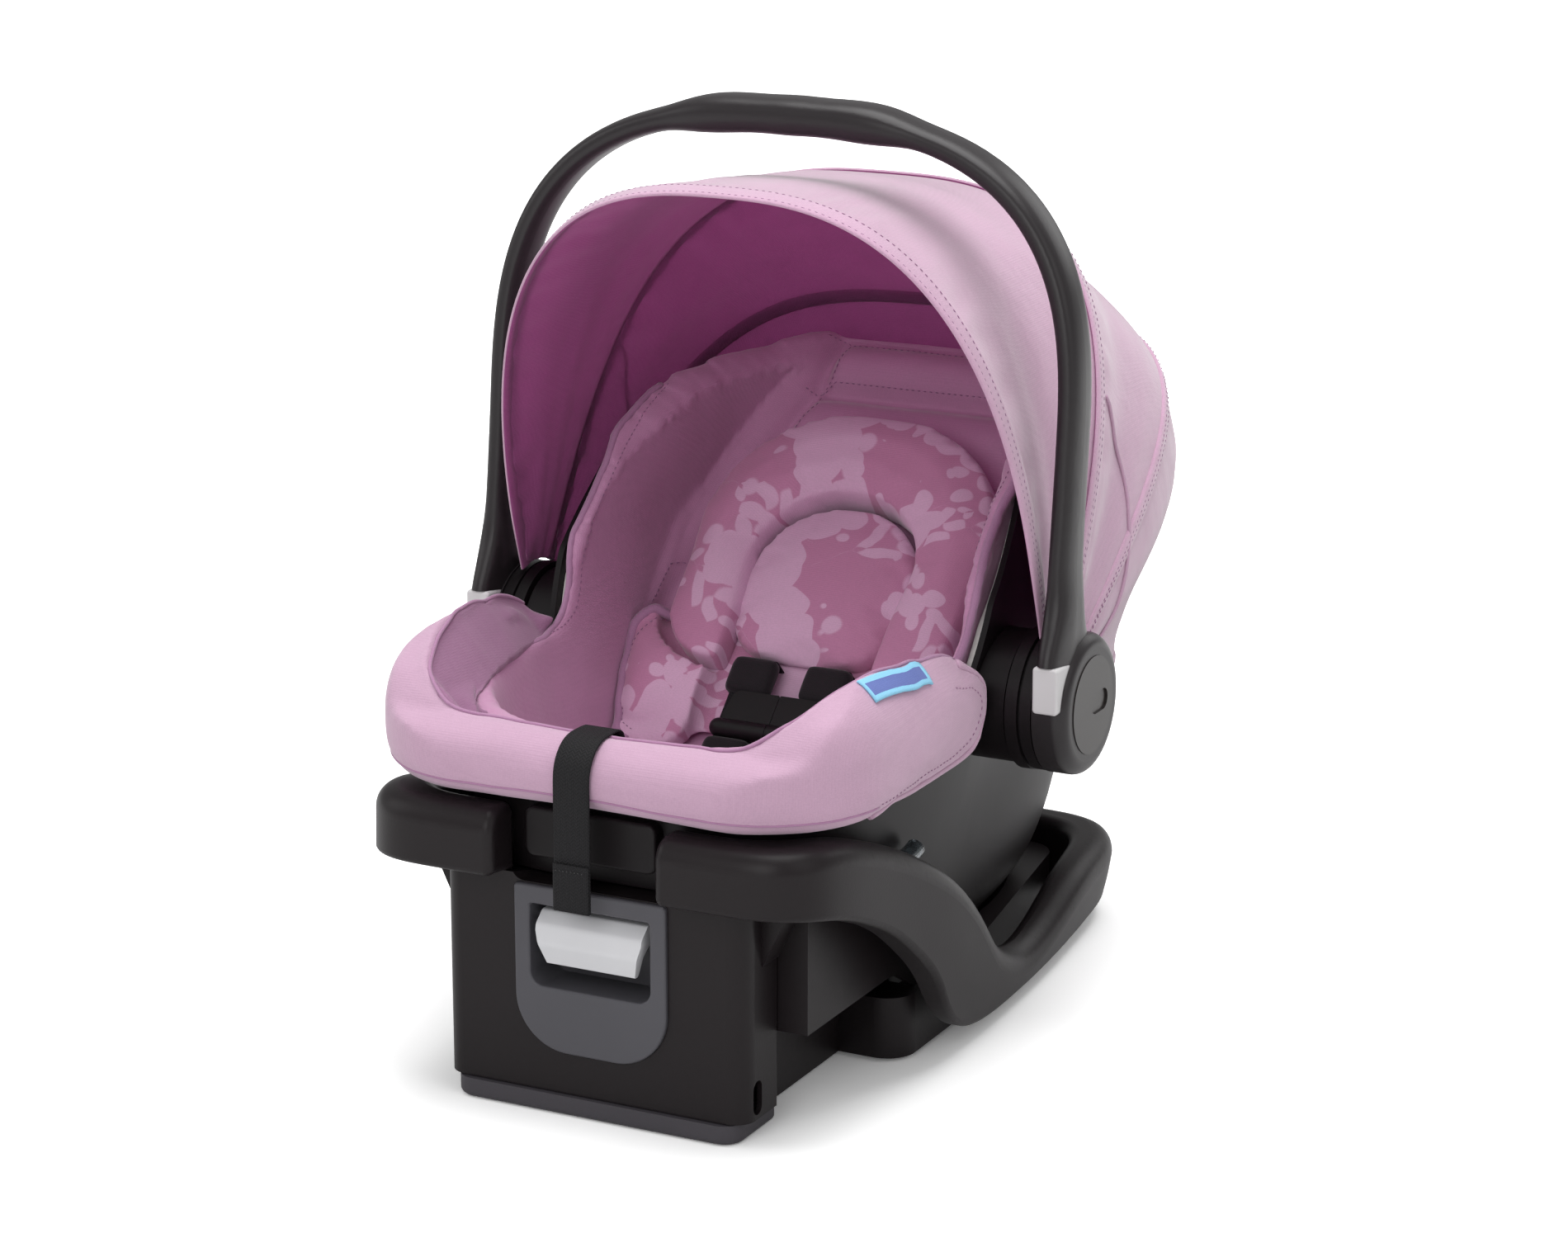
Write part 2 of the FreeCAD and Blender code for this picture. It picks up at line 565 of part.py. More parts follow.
def roll_section(grow):
    """Side view of what the adjusting strap lies on: the roll and the pad's edge, grown by an offset."""
    low = ROLL_LOW - grow
    high = ROLL_HIGH + grow
    front = ROLL_FRONT - grow
    back = SHELL_SECTIONS[4][2] + SHELL_WALL + FOAM_T + 4 * SOFT_GAP + LINER_T + grow
    return prism(((front, low), (back, low), (back, high), (front, high)),
                 [ROLL_R - 4 + grow, 2, grow, ROLL_R + grow], "YZ", -STRAP_W / 2, STRAP_W / 2)


def front_roll():
    """Padded edge that wraps the shell's front rim and the pad's edge, with a flap towards each hub."""
    rings = []
    for z, inset in ROLL_SWELL:
        half, front, corner = ROLL_HALF - inset, ROLL_FRONT + inset, ROLL_CORNER - inset
        ring = outline(((-half, front), (half, front), (half, ROLL_REAR), (-half, ROLL_REAR)), (corner, corner, 0, 0))
        ring.translate(V(0, 0, z))
        rings.append(ring)
    band = Part.makeLoft(rings, True, True)
    side = ((ROLL_FRONT, 190), (-120, 190), (-66, 204), (ROLL_REAR, 230), (ROLL_REAR, 252), (-96, 280), (-155, 291),
            (-205, 286), (-245, 268), (-259, ROLL_HIGH), (ROLL_FRONT, ROLL_HIGH))
    band = band.common(prism(side, [0, 60, 20, 12, 16, 40, 50, 60, 40, 0, ROLL_R], "YZ", -200, 200))
    across = ((-200, 150), (200, 150), (200, 294), (159, 294), (90, ROLL_HIGH), (-90, ROLL_HIGH), (-159, 294),
              (-200, 294))
    band = band.common(prism(across, [0, 0, 0, 20, 40, 40, 20, 0], "XZ", -400, 0))
    kept_clear = bucket(SOFT_GAP, 0).common(under_line(SHELL_RIM, SOFT_GAP, 240))
    pad = bucket(-SHELL_WALL - FOAM_T - SOFT_GAP, 0).common(under_line(SHELL_RIM, LINER_RISE + SOFT_GAP, 240))
    seat = bucket(-SHELL_WALL - FOAM_T - LINER_T - 3 * SOFT_GAP, 0)
    return band.cut([kept_clear, pad, seat, nose_plate()])


def back_pad(points, radius, low, high):
    """Cushion with the given outline on the slope of the back, kept inside the seat."""
    return on_back(prism(points, radius, "XY", low, high), 0, 0, 0)


def head_ring():
    """Horseshoe cushion around the head."""
    body = back_pad(((-HEAD_HALF, -28), (HEAD_HALF, -28), (HEAD_HALF, 176), (-HEAD_HALF, 176)),
                    [44, 44, 100, 100], BODY_T + 2 * SOFT_GAP, HEAD_T)
    inner = back_pad(((-HEAD_INNER, -90), (HEAD_INNER, -90), (HEAD_INNER, 107), (-HEAD_INNER, 107)),
                     [0, 0, 58, 58], -20, 80)
    top = back_pad(((-150, 30), (150, 30), (150, 200), (-150, 200)), [0, 0, 0, 0], -10, BODY_T + 2 * SOFT_GAP)
    low = back_pad(((-HEAD_HALF, 30), (HEAD_HALF, 30), (HEAD_HALF, 176), (-HEAD_HALF, 176)),
                   [0, 0, 100, 100], SOFT_GAP, BODY_T + 2 * SOFT_GAP + 1)
    return body.fuse(low.common(top)).cut(inner).common(seat_room()).removeSplitter()


def head_cushion():
    """Thin cushion inside the horseshoe."""
    half = HEAD_INNER - SOFT_GAP
    pad = back_pad(((-half, -16), (half, -16), (half, 107 - SOFT_GAP), (-half, 107 - SOFT_GAP)),
                   [34, 34, 58 - SOFT_GAP, 58 - SOFT_GAP], BODY_T + 2 * SOFT_GAP, BODY_T + HEAD_PAD_T)
    return pad.common(seat_room())


def body_insert():
    """Cushion under the body with a lobe on each side of the hips."""
    base = back_pad(((-BODY_HALF, -104), (BODY_HALF, -104), (BODY_HALF, 22), (-BODY_HALF, 22)),
                    [40, 40, 46, 46], SOFT_GAP, BODY_T)
    lobe = back_pad(((62, -96), (BODY_HALF, -96), (BODY_HALF, 22), (62, 22)), [28, 50, 46, 28], SOFT_GAP, LOBE_T)
    clear = back_pad(((-HEAD_HALF - 1, -30), (HEAD_HALF + 1, -30), (HEAD_HALF + 1, 200), (-HEAD_HALF - 1, 200)),
                     [45, 45, 0, 0], BODY_T + SOFT_GAP, 90)
    body = base.fuse([lobe, mirror_x(lobe)]).cut(clear)
    return body.common(seat_room()).removeSplitter()


def ribbon(line, x, width, thick):
    """Flat webbing of one thickness that follows a side-view line."""
    points = [V(y, z, 0) for y, z in line]
    sides = ([], [])
    for i, point in enumerate(points):
        before = (point - points[i - 1]).normalize() if i else (points[1] - point).normalize()
        after = (points[i + 1] - point).normalize() if i + 1 < len(points) else before
        ahead = (before + after).normalize()
        reach = thick / 2 / ahead.dot(after)
        normal = V(-ahead.y, ahead.x, 0)
        sides[0].append(point + normal * reach)
        sides[1].append(point - normal * reach)
    outlined = [(p.x, p.y) for p in sides[0] + sides[1][::-1]]
    return prism(outlined, 0, "YZ", x - width / 2, x + width / 2)


def back_point(along, off):
    """Side-view position on the slope of the back."""
    place = on_back(Part.Vertex(0, 0, 0), 0, along, off).Point
    return place.y, place.z


def strap_line():
    """Side-view line of the shoulder webbing, from its slot to the buckle."""
    run = CLIP_LOW + 4
    return (back_point(STRAP_SLOT, BODY_T + 2.5), back_point(STRAP_SLOT, run), back_point(STRAP_BEND, run),
            (BUCKLE_Y + 24, BUCKLE_Z + 6), (BUCKLE_Y + 8, BUCKLE_Z + 6))


def shoulder_strap():
    """Webbing from the slot in the back, under its cover and through the clip, to the buckle."""
    return ribbon(strap_line(), STRAP_X, STRAP_W, STRAP_T)


def shoulder_cover():
    """Padded sleeve around the shoulder webbing, thin where it passes behind the chest clip."""
    sleeve = on_back(prism(((STRAP_X - 16.5, CLIP_LOW - 2), (STRAP_X + 16.5, CLIP_LOW - 2),
                            (STRAP_X + 16.5, CLIP_LOW + 10), (STRAP_X - 16.5, CLIP_LOW + 10)), 4, "XZ",
                           STRAP_BEND + 2, STRAP_SLOT - 1.5), 0, 0, 0)
    behind_clip = on_back(box(0, 90, CLIP_V - 21, CLIP_V + 14.5, CLIP_LOW - SOFT_GAP, 80), 0, 0, 0)
    room = ribbon(strap_line(), STRAP_X, STRAP_W + 2 * SOFT_GAP, STRAP_T + 2 * SOFT_GAP)
    return sleeve.cut([behind_clip, room])


def clip_half():
    """Right half of the chest clip: a thin bridge over the strap with a rounded front bar."""
    plate = on_back(prism(((0.2, CLIP_V - 13), (CLIP_HALF - 6, CLIP_V - 13), (CLIP_HALF - 10, CLIP_V + 14),
                           (0.2, CLIP_V + 14)), [1, 8, 6, 1], "XY", CLIP_LOW, CLIP_LOW + 9), 0, 0, 0)
    bar = Part.makeCylinder(6.5, CLIP_HALF - 7, V(0.2, CLIP_V - 14, CLIP_LOW + 6.5), AXIS_X)
    end = Part.makeSphere(6.5, V(CLIP_HALF - 6.8, CLIP_V - 14, CLIP_LOW + 6.5))
    bar = on_back(bar.fuse(end), 0, 0, 0)
    room = ribbon(strap_line(), STRAP_X, STRAP_W + 2 * SOFT_GAP, STRAP_T + 2 * SOFT_GAP)
    return plate.fuse(bar).removeSplitter().cut(room)


def buckle_body():
    """Buckle at the end of the crotch strap, with a slot for each strap end and a button seat."""
    low = BUCKLE_Z
    body = prism(((-28, BUCKLE_Y - 24), (28, BUCKLE_Y - 24), (36, BUCKLE_Y + 22), (-36, BUCKLE_Y + 22)), 7, "XY",
                 low, low + 15)
    body = rounded(body, 2.5, lambda e: e.BoundBox.ZMin > low + 14.9)
    room = ribbon(strap_line(), 0, 2 * STRAP_X + STRAP_W + 1, STRAP_T + 2 * SOFT_GAP)
    middle = box(-8, 8, BUCKLE_Y - 60, BUCKLE_Y + 60, low - 20, low + 40)
    seat = prism(button_outline(0.25), 4, "XY", low + 9, low + 20)
    stem = box(-BUCKLE_STRAP / 2 - 0.3, BUCKLE_STRAP / 2 + 0.3, BUCKLE_Y - 12, BUCKLE_Y - 9, low - 1, low + 5)
    return body.cut([room.cut(middle), seat, stem])


def button_outline(grow):
    """Top view of the buckle's button."""
    half = 13 + grow
    return ((-half, BUCKLE_Y - 17 - grow), (half, BUCKLE_Y - 17 - grow), (half, BUCKLE_Y + 4 + grow),
            (-half, BUCKLE_Y + 4 + grow))


def buckle_button():
    """Press button in the buckle, with its travel below it."""
    button = prism(button_outline(0), 3.75, "XY", BUCKLE_Z + 9 + BUTTON_TRAVEL, BUCKLE_Z + 17)
    return rounded(button, 1.2, lambda e: e.BoundBox.ZMin > BUCKLE_Z + 16.9)


def crotch_strap():
    """Short webbing from the pad up into the buckle."""
    return box(-BUCKLE_STRAP / 2, BUCKLE_STRAP / 2, BUCKLE_Y - 11.3, BUCKLE_Y - 9.7, CROTCH_LOW, BUCKLE_Z + 5)


def roll_strap():
    """Adjusting strap: comes over the front roll and hangs down in front of the lever."""
    lay = roll_section(SOFT_GAP + STRAP_T).cut(roll_section(SOFT_GAP))
    lay = lay.common(box(-50, 50, ROLL_FRONT - 20, ROLL_FRONT + 100, ROLL_HIGH - ROLL_R, 300))
    lay = lay.cut(box(-50, 50, ROLL_FRONT + 30, ROLL_FRONT + 100, 0, ROLL_HIGH - 10))
    front = ROLL_FRONT - SOFT_GAP
    tail = box(-STRAP_W / 2, STRAP_W / 2, front - STRAP_T, front, STRAP_END, ROLL_HIGH - ROLL_R)
    fold = box(-STRAP_W / 2, STRAP_W / 2, front - 2 * STRAP_T, front - STRAP_T, STRAP_END, STRAP_FOLD)
    return lay.fuse([tail, fold]).removeSplitter()


def hub_housing():
    """Fixed boss on the shell's right side: three stacked rings around the handle's axis."""
    steps = ((SOCKET_IN, 176, HUB_R - 3), (176, 178, HUB_R - 6), (178, 186, HUB_R), (186, 188, HUB_R - 3),
             (188, SOCKET_OUT, HUB_R - 0.5))
    rings = [rod_x(radius, low, high, 0, HUB_Z) for low, high, radius in steps]
    boss = rings[0].fuse(rings[1:]).removeSplitter()
    boss = boss.cut(bucket(SOFT_GAP, 0))
    return boss.cut(rod_x(BOLT_R + RUN_GAP, 100, 240, 0, HUB_Z))


def pivot_bolt():
    """Bolt through the housing and the handle's hub on the right side."""
    return rod_x(BOLT_R, SOCKET_IN, CAP_OUT - 6.3, 0, HUB_Z).cut(bucket(SOFT_GAP, 0))


# ---------------------------------------------------------------- canopy
def canopy_wire(half, apex, power):
    """Points of one bow line in the XZ plane, measured from the handle's axis."""
    return superellipse(half, apex - CANOPY_FOOT, power, CANOPY_FOOT, 0, 180, 25)


def canopy_sector(panel, start, stop):
    """A slice of a panel between two angles back from upright."""
    half, apex, power = PANELS[panel]
    inner = canopy_wire(half, apex, power)
    outer = canopy_wire(half + CANOPY_T, apex + CANOPY_T, power)
    edges = [open_spline(inner), Part.LineSegment(inner[-1], outer[-1]).toShape(), open_spline(outer),
             Part.LineSegment(outer[0], inner[0]).toShape()]
    face = Part.Face(Part.Wire(Part.__sortEdges__(edges)))
    face.rotate(V(0, 0, 0), AXIS_X, 90 - start)
    face.translate(V(0, 0, HUB_Z))
    return face.revolve(V(0, 0, HUB_Z), AXIS_X, start - stop)


def lofted_panel(sections):
    """Fabric whose bow line changes from one angle to the next."""
    wires = []
    for angle, half, apex, power in sections:
        inner = canopy_wire(half, apex, power)
        outer = canopy_wire(half + CANOPY_T, apex + CANOPY_T, power)
        wire = Part.Wire([open_spline(inner), Part.LineSegment(inner[-1], outer[-1]).toShape(),
                          open_spline(list(reversed(outer))), Part.LineSegment(outer[0], inner[0]).toShape()])
        wire.rotate(V(0, 0, 0), AXIS_X, 90 - angle)
        wire.translate(V(0, 0, HUB_Z))
        wires.append(wire)
    return Part.makeLoft(wires, True, False)


def canopy_bow(panel, start):
    """Flat spring strip in line with the fabric it carries."""
    return canopy_sector(panel, start, start + BOW_SPAN)


# ---------------------------------------------------------------- handle
def lean(z):
    """Where the handle's plane stands at a height."""
    return HANDLE_LOW_Y + (HANDLE_TOP_Y - HANDLE_LOW_Y) * (z - HUB_Z) / (HANDLE_TOP - HUB_Z)


def handle_section(centre, ahead, thick, wide):
    """Oval section across the handle."""
    points = superellipse(thick / 2, wide / 2, 2.7, 0, 0, 360, 17)[:-1]
    across = V(0, 1, 0)
    radial = across.cross(ahead).normalize()
    return closed_spline([centre + radial * p.x + across * p.y for p in points])


def handle_bow():
    """The whole bow in one sweep: both arms, widened towards the hubs, and the arch between them."""
    middle = HANDLE_HALF - ARM_T / 2
    stations = ((HUB_Z - 16, 20.0, 84.0), (HUB_Z + 22, 20.0, 74.0), (HUB_Z + 52, 18.0, 50.0),
                (HUB_Z + 82, 16.5, 36.0), (HUB_Z + 114, ARM_T, ARM_W + 1), (ARM_TOP - 20, ARM_T, ARM_W))
    arms = ([], [])
    for z, thick, wide in stations:
        y = lean(z) * max(0, min(1, (z - HUB_Z + 16) / 60))
        for sign in (1, -1):
            centre = V(sign * (middle + (thick - ARM_T) / 2), y, z)
            arms[sign < 0].append(handle_section(centre, V(0, 0, sign), thick, wide))
    rise = HANDLE_TOP - GRIP_T / 2 - ARM_TOP
    line = superellipse(middle, rise, HANDLE_POWER, ARM_TOP, 0, 180, 33)
    wires = []
    for i, point in enumerate(line):
        ahead = line[i + 1] - line[i - 1] if 0 < i < 32 else V(0, 1 if i == 0 else -1, 0)
        share = max(0, min(1, (GRIP_HALF + GRIP_EASE - abs(point.x)) / GRIP_EASE))
        share = share * share * (3 - 2 * share)
        wires.append(handle_section(V(point.x, lean(point.y), point.y), V(ahead.x, 0, ahead.y).normalize(),
                                    ARM_T + (GRIP_T - ARM_T) * share, ARM_W + (GRIP_W - ARM_W) * share))
    return Part.makeLoft(arms[0] + wires + arms[1][::-1], True, False)


def hub_cap():
    """Round end of the handle's right-hand arm, with its bore, button slot and disc seat."""
    cap = rod_x(HUB_R, CAP_IN, CAP_OUT, 0, HUB_Z)
    return rounded(cap, 9, lambda e: e.BoundBox.XMin > CAP_OUT - 0.01)


def handle_frame():
    """Carry handle: bow with an oval section and round hub caps."""
    frame = handle_bow().cut(rod_x(HUB_R + 12, -CAP_IN, CAP_IN, 0, HUB_Z))
    frame = frame.fuse([hub_cap(), mirror_x(hub_cap())])
    room = [rod_x(BOLT_R + RUN_GAP, CAP_IN - 5, CAP_OUT - 6, 0, HUB_Z),
            rod_x(DISC_R, CAP_OUT - 2, CAP_OUT + 5, 0, HUB_Z),
            prism(((CAP_IN + 1, BUTTON_LOW), (CAP_IN + 1 + BUTTON_W, BUTTON_LOW),
                   (CAP_IN + 1 + BUTTON_W, BUTTON_LOW + BUTTON_H), (CAP_IN + 1, BUTTON_LOW + BUTTON_H)),
                  3, "XZ", -70, -24)]
    return frame.cut(room + [mirror_x(shape) for shape in room])


def handle_button():
    """Push button in the front of the right-hand hub cap."""
    gap = 0.3
    low = CAP_IN + 1 + gap
    high = CAP_IN + 1 + BUTTON_W - gap
    body = prism(((low, BUTTON_LOW + gap), (high, BUTTON_LOW + gap), (high, BUTTON_LOW + BUTTON_H - gap),
                  (low, BUTTON_LOW + BUTTON_H - gap)), 2.7, "XZ", -49, -29)
    return rounded(body, 1.8, lambda e: e.BoundBox.YMax < -48.9)


def hub_disc():
    """Round insert in the right-hand hub cap with a plain oval dish."""
    disc = rod_x(DISC_R - 0.1, CAP_OUT - 2, CAP_OUT + 0.6, 0, HUB_Z)
    dish = prism(((-3, HUB_Z - 7), (23, HUB_Z - 7), (23, HUB_Z + 7), (-3, HUB_Z + 7)), 6.9, "YZ",
                 CAP_OUT - 0.8, CAP_OUT + 3)
    return disc.cut(dish)


def build():
    """Every sub-part by name."""
    left = mirror_x
    return {
        "base_tower": base_tower(),
        "base_rim": base_rim(),
        "front_bezel": front_bezel(),
        "adjust_lever": adjust_lever(),
        "lever_pin": lever_pin(),
        "recline_foot": recline_foot(),
        "base_tub": base_tub(),
        "base_pads": base_pads(),
        "level_window_right": level_window(),
        "level_window_left": left(level_window()),
        "level_ball_right": level_ball(),
        "level_ball_left": left(level_ball()),
        "shell": shell(),
        "nose_plate": nose_plate(),
        "foam_liner": foam_liner(),
        "seat_liner": seat_liner(),
        "front_roll": front_roll(),
        "head_ring": head_ring(),
        "head_cushion": head_cushion(),
        "body_insert": body_insert(),
        "shoulder_strap_right": shoulder_strap(),
        "shoulder_strap_left": left(shoulder_strap()),
        "shoulder_cover_right": shoulder_cover(),
        "shoulder_cover_left": left(shoulder_cover()),
        "chest_clip_right": clip_half(),
        "chest_clip_left": left(clip_half()),
        "buckle_body": buckle_body(),
        "buckle_button": buckle_button(),
        "crotch_strap": crotch_strap(),
        "roll_strap": roll_strap(),
        "hub_housing_right": hub_housing(),
        "hub_housing_left": left(hub_housing()).cut(bucket(SOFT_GAP, 0)),
        "pivot_bolts": Part.makeCompound([pivot_bolt(), left(pivot_bolt())]),
        "canopy_front": canopy_sector(0, FRONT_ANGLE + BOW_SPAN + BOW_PLAY, MID_ANGLE + PANEL_LAP),
        "canopy_middle": lofted_panel(MIDDLE_SECTIONS),
        "canopy_rear": lofted_panel(REAR_SECTIONS),
        "front_bow": canopy_bow(0, FRONT_ANGLE),
        "middle_bow": canopy_bow(1, MID_ANGLE),
        "rear_bow": canopy_bow(2, REAR_ANGLE),
        "handle_frame": handle_frame(),
        "handle_button_right": handle_button(),
        "handle_button_left": left(handle_button()),
        "hub_disc_right": hub_disc(),
        "hub_disc_left": left(hub_disc()),
    }


def main():
    """Writes one STEP file per sub-part, moved so that the origin is the bottom centre."""
    os.makedirs("parts", exist_ok=True)
    for name, shape in build().items():
        moved = shape.copy()
        moved.translate(V(0, -ORIGIN_Y, 0))
        moved.exportStep("parts/" + name + ".step")
        print(name, len(moved.Solids), round(moved.Volume / 1000, 1), moved.isValid())


main()
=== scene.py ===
"""Looks of the infant car seat: cloth, cushions, webbing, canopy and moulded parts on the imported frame."""
import json
import logging
import math
from abc import ABC, abstractmethod
from dataclasses import dataclass, field
from enum import Enum
from functools import partial
from typing import Callable, Iterable, Sequence

import bmesh
import bpy
from mathutils import Matrix, Vector, noise
from mathutils.bvhtree import BVHTree


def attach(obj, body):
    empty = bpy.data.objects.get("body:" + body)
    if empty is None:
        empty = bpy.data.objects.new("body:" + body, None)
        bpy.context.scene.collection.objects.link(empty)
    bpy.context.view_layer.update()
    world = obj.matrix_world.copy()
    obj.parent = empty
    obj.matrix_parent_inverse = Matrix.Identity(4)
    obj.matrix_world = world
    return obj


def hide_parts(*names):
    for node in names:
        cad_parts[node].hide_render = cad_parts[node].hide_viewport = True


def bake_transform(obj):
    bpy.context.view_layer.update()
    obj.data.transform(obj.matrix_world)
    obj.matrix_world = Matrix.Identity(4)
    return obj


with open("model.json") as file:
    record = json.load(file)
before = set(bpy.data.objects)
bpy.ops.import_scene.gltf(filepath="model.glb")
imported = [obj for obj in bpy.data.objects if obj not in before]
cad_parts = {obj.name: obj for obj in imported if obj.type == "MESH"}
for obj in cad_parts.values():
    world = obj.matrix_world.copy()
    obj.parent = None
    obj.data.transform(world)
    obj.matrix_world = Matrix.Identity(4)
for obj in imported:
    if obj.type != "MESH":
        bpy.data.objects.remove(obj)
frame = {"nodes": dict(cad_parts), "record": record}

log = logging.getLogger("car_seat")
MM = 0.001
AXIS_Y = 24.85                        # how far the handle's axis lies in front of the frame's zero, in mm
HUB = Vector((0, -AXIS_Y * MM, 0.228))
SLOPE_Y, SLOPE_Z = 25.15, 215.0       # where the slope of the back has its zero, in mm
LEAN = math.sqrt(0.5)                 # sine and cosine of the slope's 45 degrees
SLOPE_FACE = Vector((0, -LEAN, LEAN))
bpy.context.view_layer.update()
Material = bpy.types.Material
Piece = bpy.types.Object
Mesh = bmesh.types.BMesh
Node = bpy.types.Node
Adder = Callable[..., Node]
Colour = tuple[float, float, float, float]
Section = Sequence[tuple[float, float]]


class Side(Enum):
    """A side of the seat as seen from the front: the right one lies towards plus X."""

    LEFT = -1
    RIGHT = 1

    @property
    def word(self) -> str:
        """The end of the names of that side's pieces."""
        return self.name.lower()


# ------------------------------------------------------------------ materials
# a Mix node in colour takes its share as input 0 and its colours as inputs 6 and 7, and gives output 2;
# a MapRange node runs from inputs 1 and 2 (0 and 1 if they aren't given) to inputs 3 and 4 (the same)
def linear(hex_colour: str, tone: float = 1.0) -> Colour:
    """Turns an sRGB hex colour into linear light.

    Args:
        hex_colour: Six hex digits, with or without a leading mark.
        tone: How much lighter or darker it is made.

    Returns:
        Red, green, blue and an alpha of 1.
    """
    digits = hex_colour.lstrip("#")
    values = [int(digits[i:i + 2], 16) / 255 for i in (0, 2, 4)]
    light = [v / 12.92 if v <= 0.04045 else ((v + 0.055) / 1.055) ** 2.4 for v in values]
    return tuple(min(1.0, v * tone) for v in light) + (1.0,)


def add_node(tree: bpy.types.NodeTree, kind: str, *given: object, **settings: object) -> Node:
    """Adds a shader node with its settings and links.

    Args:
        tree: The node tree.
        kind: The node's type, without its ShaderNode prefix.
        given: Values for its inputs in their order, or one dict of them by name or number. A node stands for
            its first output.
        settings: The node's properties.

    Returns:
        The new node.
    """
    node = tree.nodes.new("ShaderNode" + kind)
    for name, value in settings.items():
        setattr(node, name, value)
    inputs = given[0] if given and isinstance(given[0], dict) else dict(enumerate(given))
    for name, value in inputs.items():
        source = value.outputs[0] if isinstance(value, Node) else value
        if isinstance(source, bpy.types.NodeSocket):
            tree.links.new(source, node.inputs[name])
        else:
            node.inputs[name].default_value = source
    return node


@dataclass(frozen=True)
class Finish(ABC):
    """A named finish, which each kind of material mixes in its own way."""

    name: str

    def build(self) -> Material:
        """Makes the material.

        Returns:
            The new material.
        """
        material = bpy.data.materials.new(self.name)
        material.use_nodes = True
        material.node_tree.nodes.clear()
        add = partial(add_node, material.node_tree)
        add("OutputMaterial", {"Surface": self.mix(add)})
        return material

    @abstractmethod
    def mix(self, add: Adder) -> Node:
        """Adds the material's own nodes and gives its shader."""


class Scale(Enum):
    """How coarse a pattern is drawn, as a multiple of its real size, so that it shows in a whole view."""

    COARSE = 2.0
    COARSER = 3.0


@dataclass(frozen=True)
class MouldedPlastic(Finish):
    """Polypropylene or ABS from a spark-eroded mould: a satin skin with a fine, even grain."""

    colour: str
    roughness: float = 0.46
    grain_mm: float = 0.45
    grain: Scale = Scale.COARSER      # drawn three times too coarse, because the real grain doesn't show
    depth: float = 0.22
    grain_height: float = 0.0002
    shine: float = 0.26               # a grained skin throws back less than a smooth one
    coat: float = 0.0

    def mix(self, add: Adder) -> Node:
        """Mixes a faintly clouded colour under a fine grain.

        Args:
            add: What adds nodes to the finish.

        Returns:
            The shader.
        """
        place = add("TexCoord").outputs["Object"]
        fine = 1 / (self.grain_mm * self.grain.value * MM)
        grain = add("TexNoise", {"Vector": place, "Scale": fine, "Detail": 2.0})
        broad = add("TexNoise", {"Vector": place, "Scale": 9.0, "Detail": 3.0})
        dark, light = linear(self.colour, 0.86), linear(self.colour, 1.12)
        colour = add("Mix", {0: broad, 6: dark, 7: light}, data_type="RGBA").outputs[2]
        rough = add("MapRange", {0: broad, 3: self.roughness - 0.05, 4: self.roughness + 0.06})
        relief = add("Bump", {"Height": grain, "Strength": self.depth, "Distance": self.grain_height})
        return add("BsdfPrincipled", {"Base Color": colour, "Roughness": rough, "Normal": relief, "IOR": 1.49,
                                      "Specular IOR Level": self.shine, "Coat Weight": self.coat,
                                      "Coat Roughness": 0.2})


@dataclass(frozen=True)
class Sprig:
    """One size of leafy sprig in the print, in metres."""

    cells: float                      # how many of them there are in a metre
    length: float
    half: float                       # how far its leaves reach to each side
    pitch: float                      # from one leaf to the next

    def draw(self, add: Adder, flat: Node) -> Node:
        """Draws the sprigs, each turned its own way.

        Args:
            add: What adds nodes to the finish.
            flat: The place on the cloth.

        Returns:
            A mask that is 1 on a leaf.
        """
        moved = add("VectorMath", flat, (self.cells * 0.013, self.cells * 0.021, 0))
        cell = add("TexVoronoi", {"Vector": moved, "Scale": self.cells, "Randomness": 0.35},
                   voronoi_dimensions="2D").outputs
        picks = add("SeparateColor", cell["Color"]).outputs
        local = add("VectorMath", moved, cell["Position"], operation="SUBTRACT")
        turn = add("Math", picks[0], math.tau, operation="MULTIPLY")
        local = add("VectorRotate", {"Vector": local, "Angle": turn}, rotation_type="Z_AXIS")
        along, across, _ = add("SeparateXYZ", local).outputs
        side = add("Math", across, operation="ABSOLUTE")
        reach = add("Math", add("Math", along, operation="ABSOLUTE"), self.length, operation="DIVIDE")
        taper = add("Math", 1.0, add("Math", reach, 2.0, operation="POWER"), operation="SUBTRACT")
        width = add("Math", add("Math", self.half, taper, operation="MULTIPLY"), 0.0001, operation="MAXIMUM")
        out = add("Math", side, width, operation="DIVIDE")
        slant = add("Math", along, add("Math", side, 0.9, operation="MULTIPLY"), operation="SUBTRACT")
        leaf = add("Math", add("Math", slant, self.pitch, operation="DIVIDE"), 0.5, operation="PINGPONG")
        arch = add("Math", add("Math", out, math.pi, operation="MULTIPLY"), operation="SINE")
        belly = add("Math", add("Math", arch, 0.46, operation="MULTIPLY"), leaf, operation="SUBTRACT")
        edge = add("MapRange", {0: belly, 1: -0.05, 2: 0.05})
        inside = add("Math", out, 1.0, operation="LESS_THAN")
        chosen = add("Math", picks[2], 0.4, operation="GREATER_THAN")
        return add("Math", edge, add("Math", inside, chosen, operation="MULTIPLY"), operation="MULTIPLY")


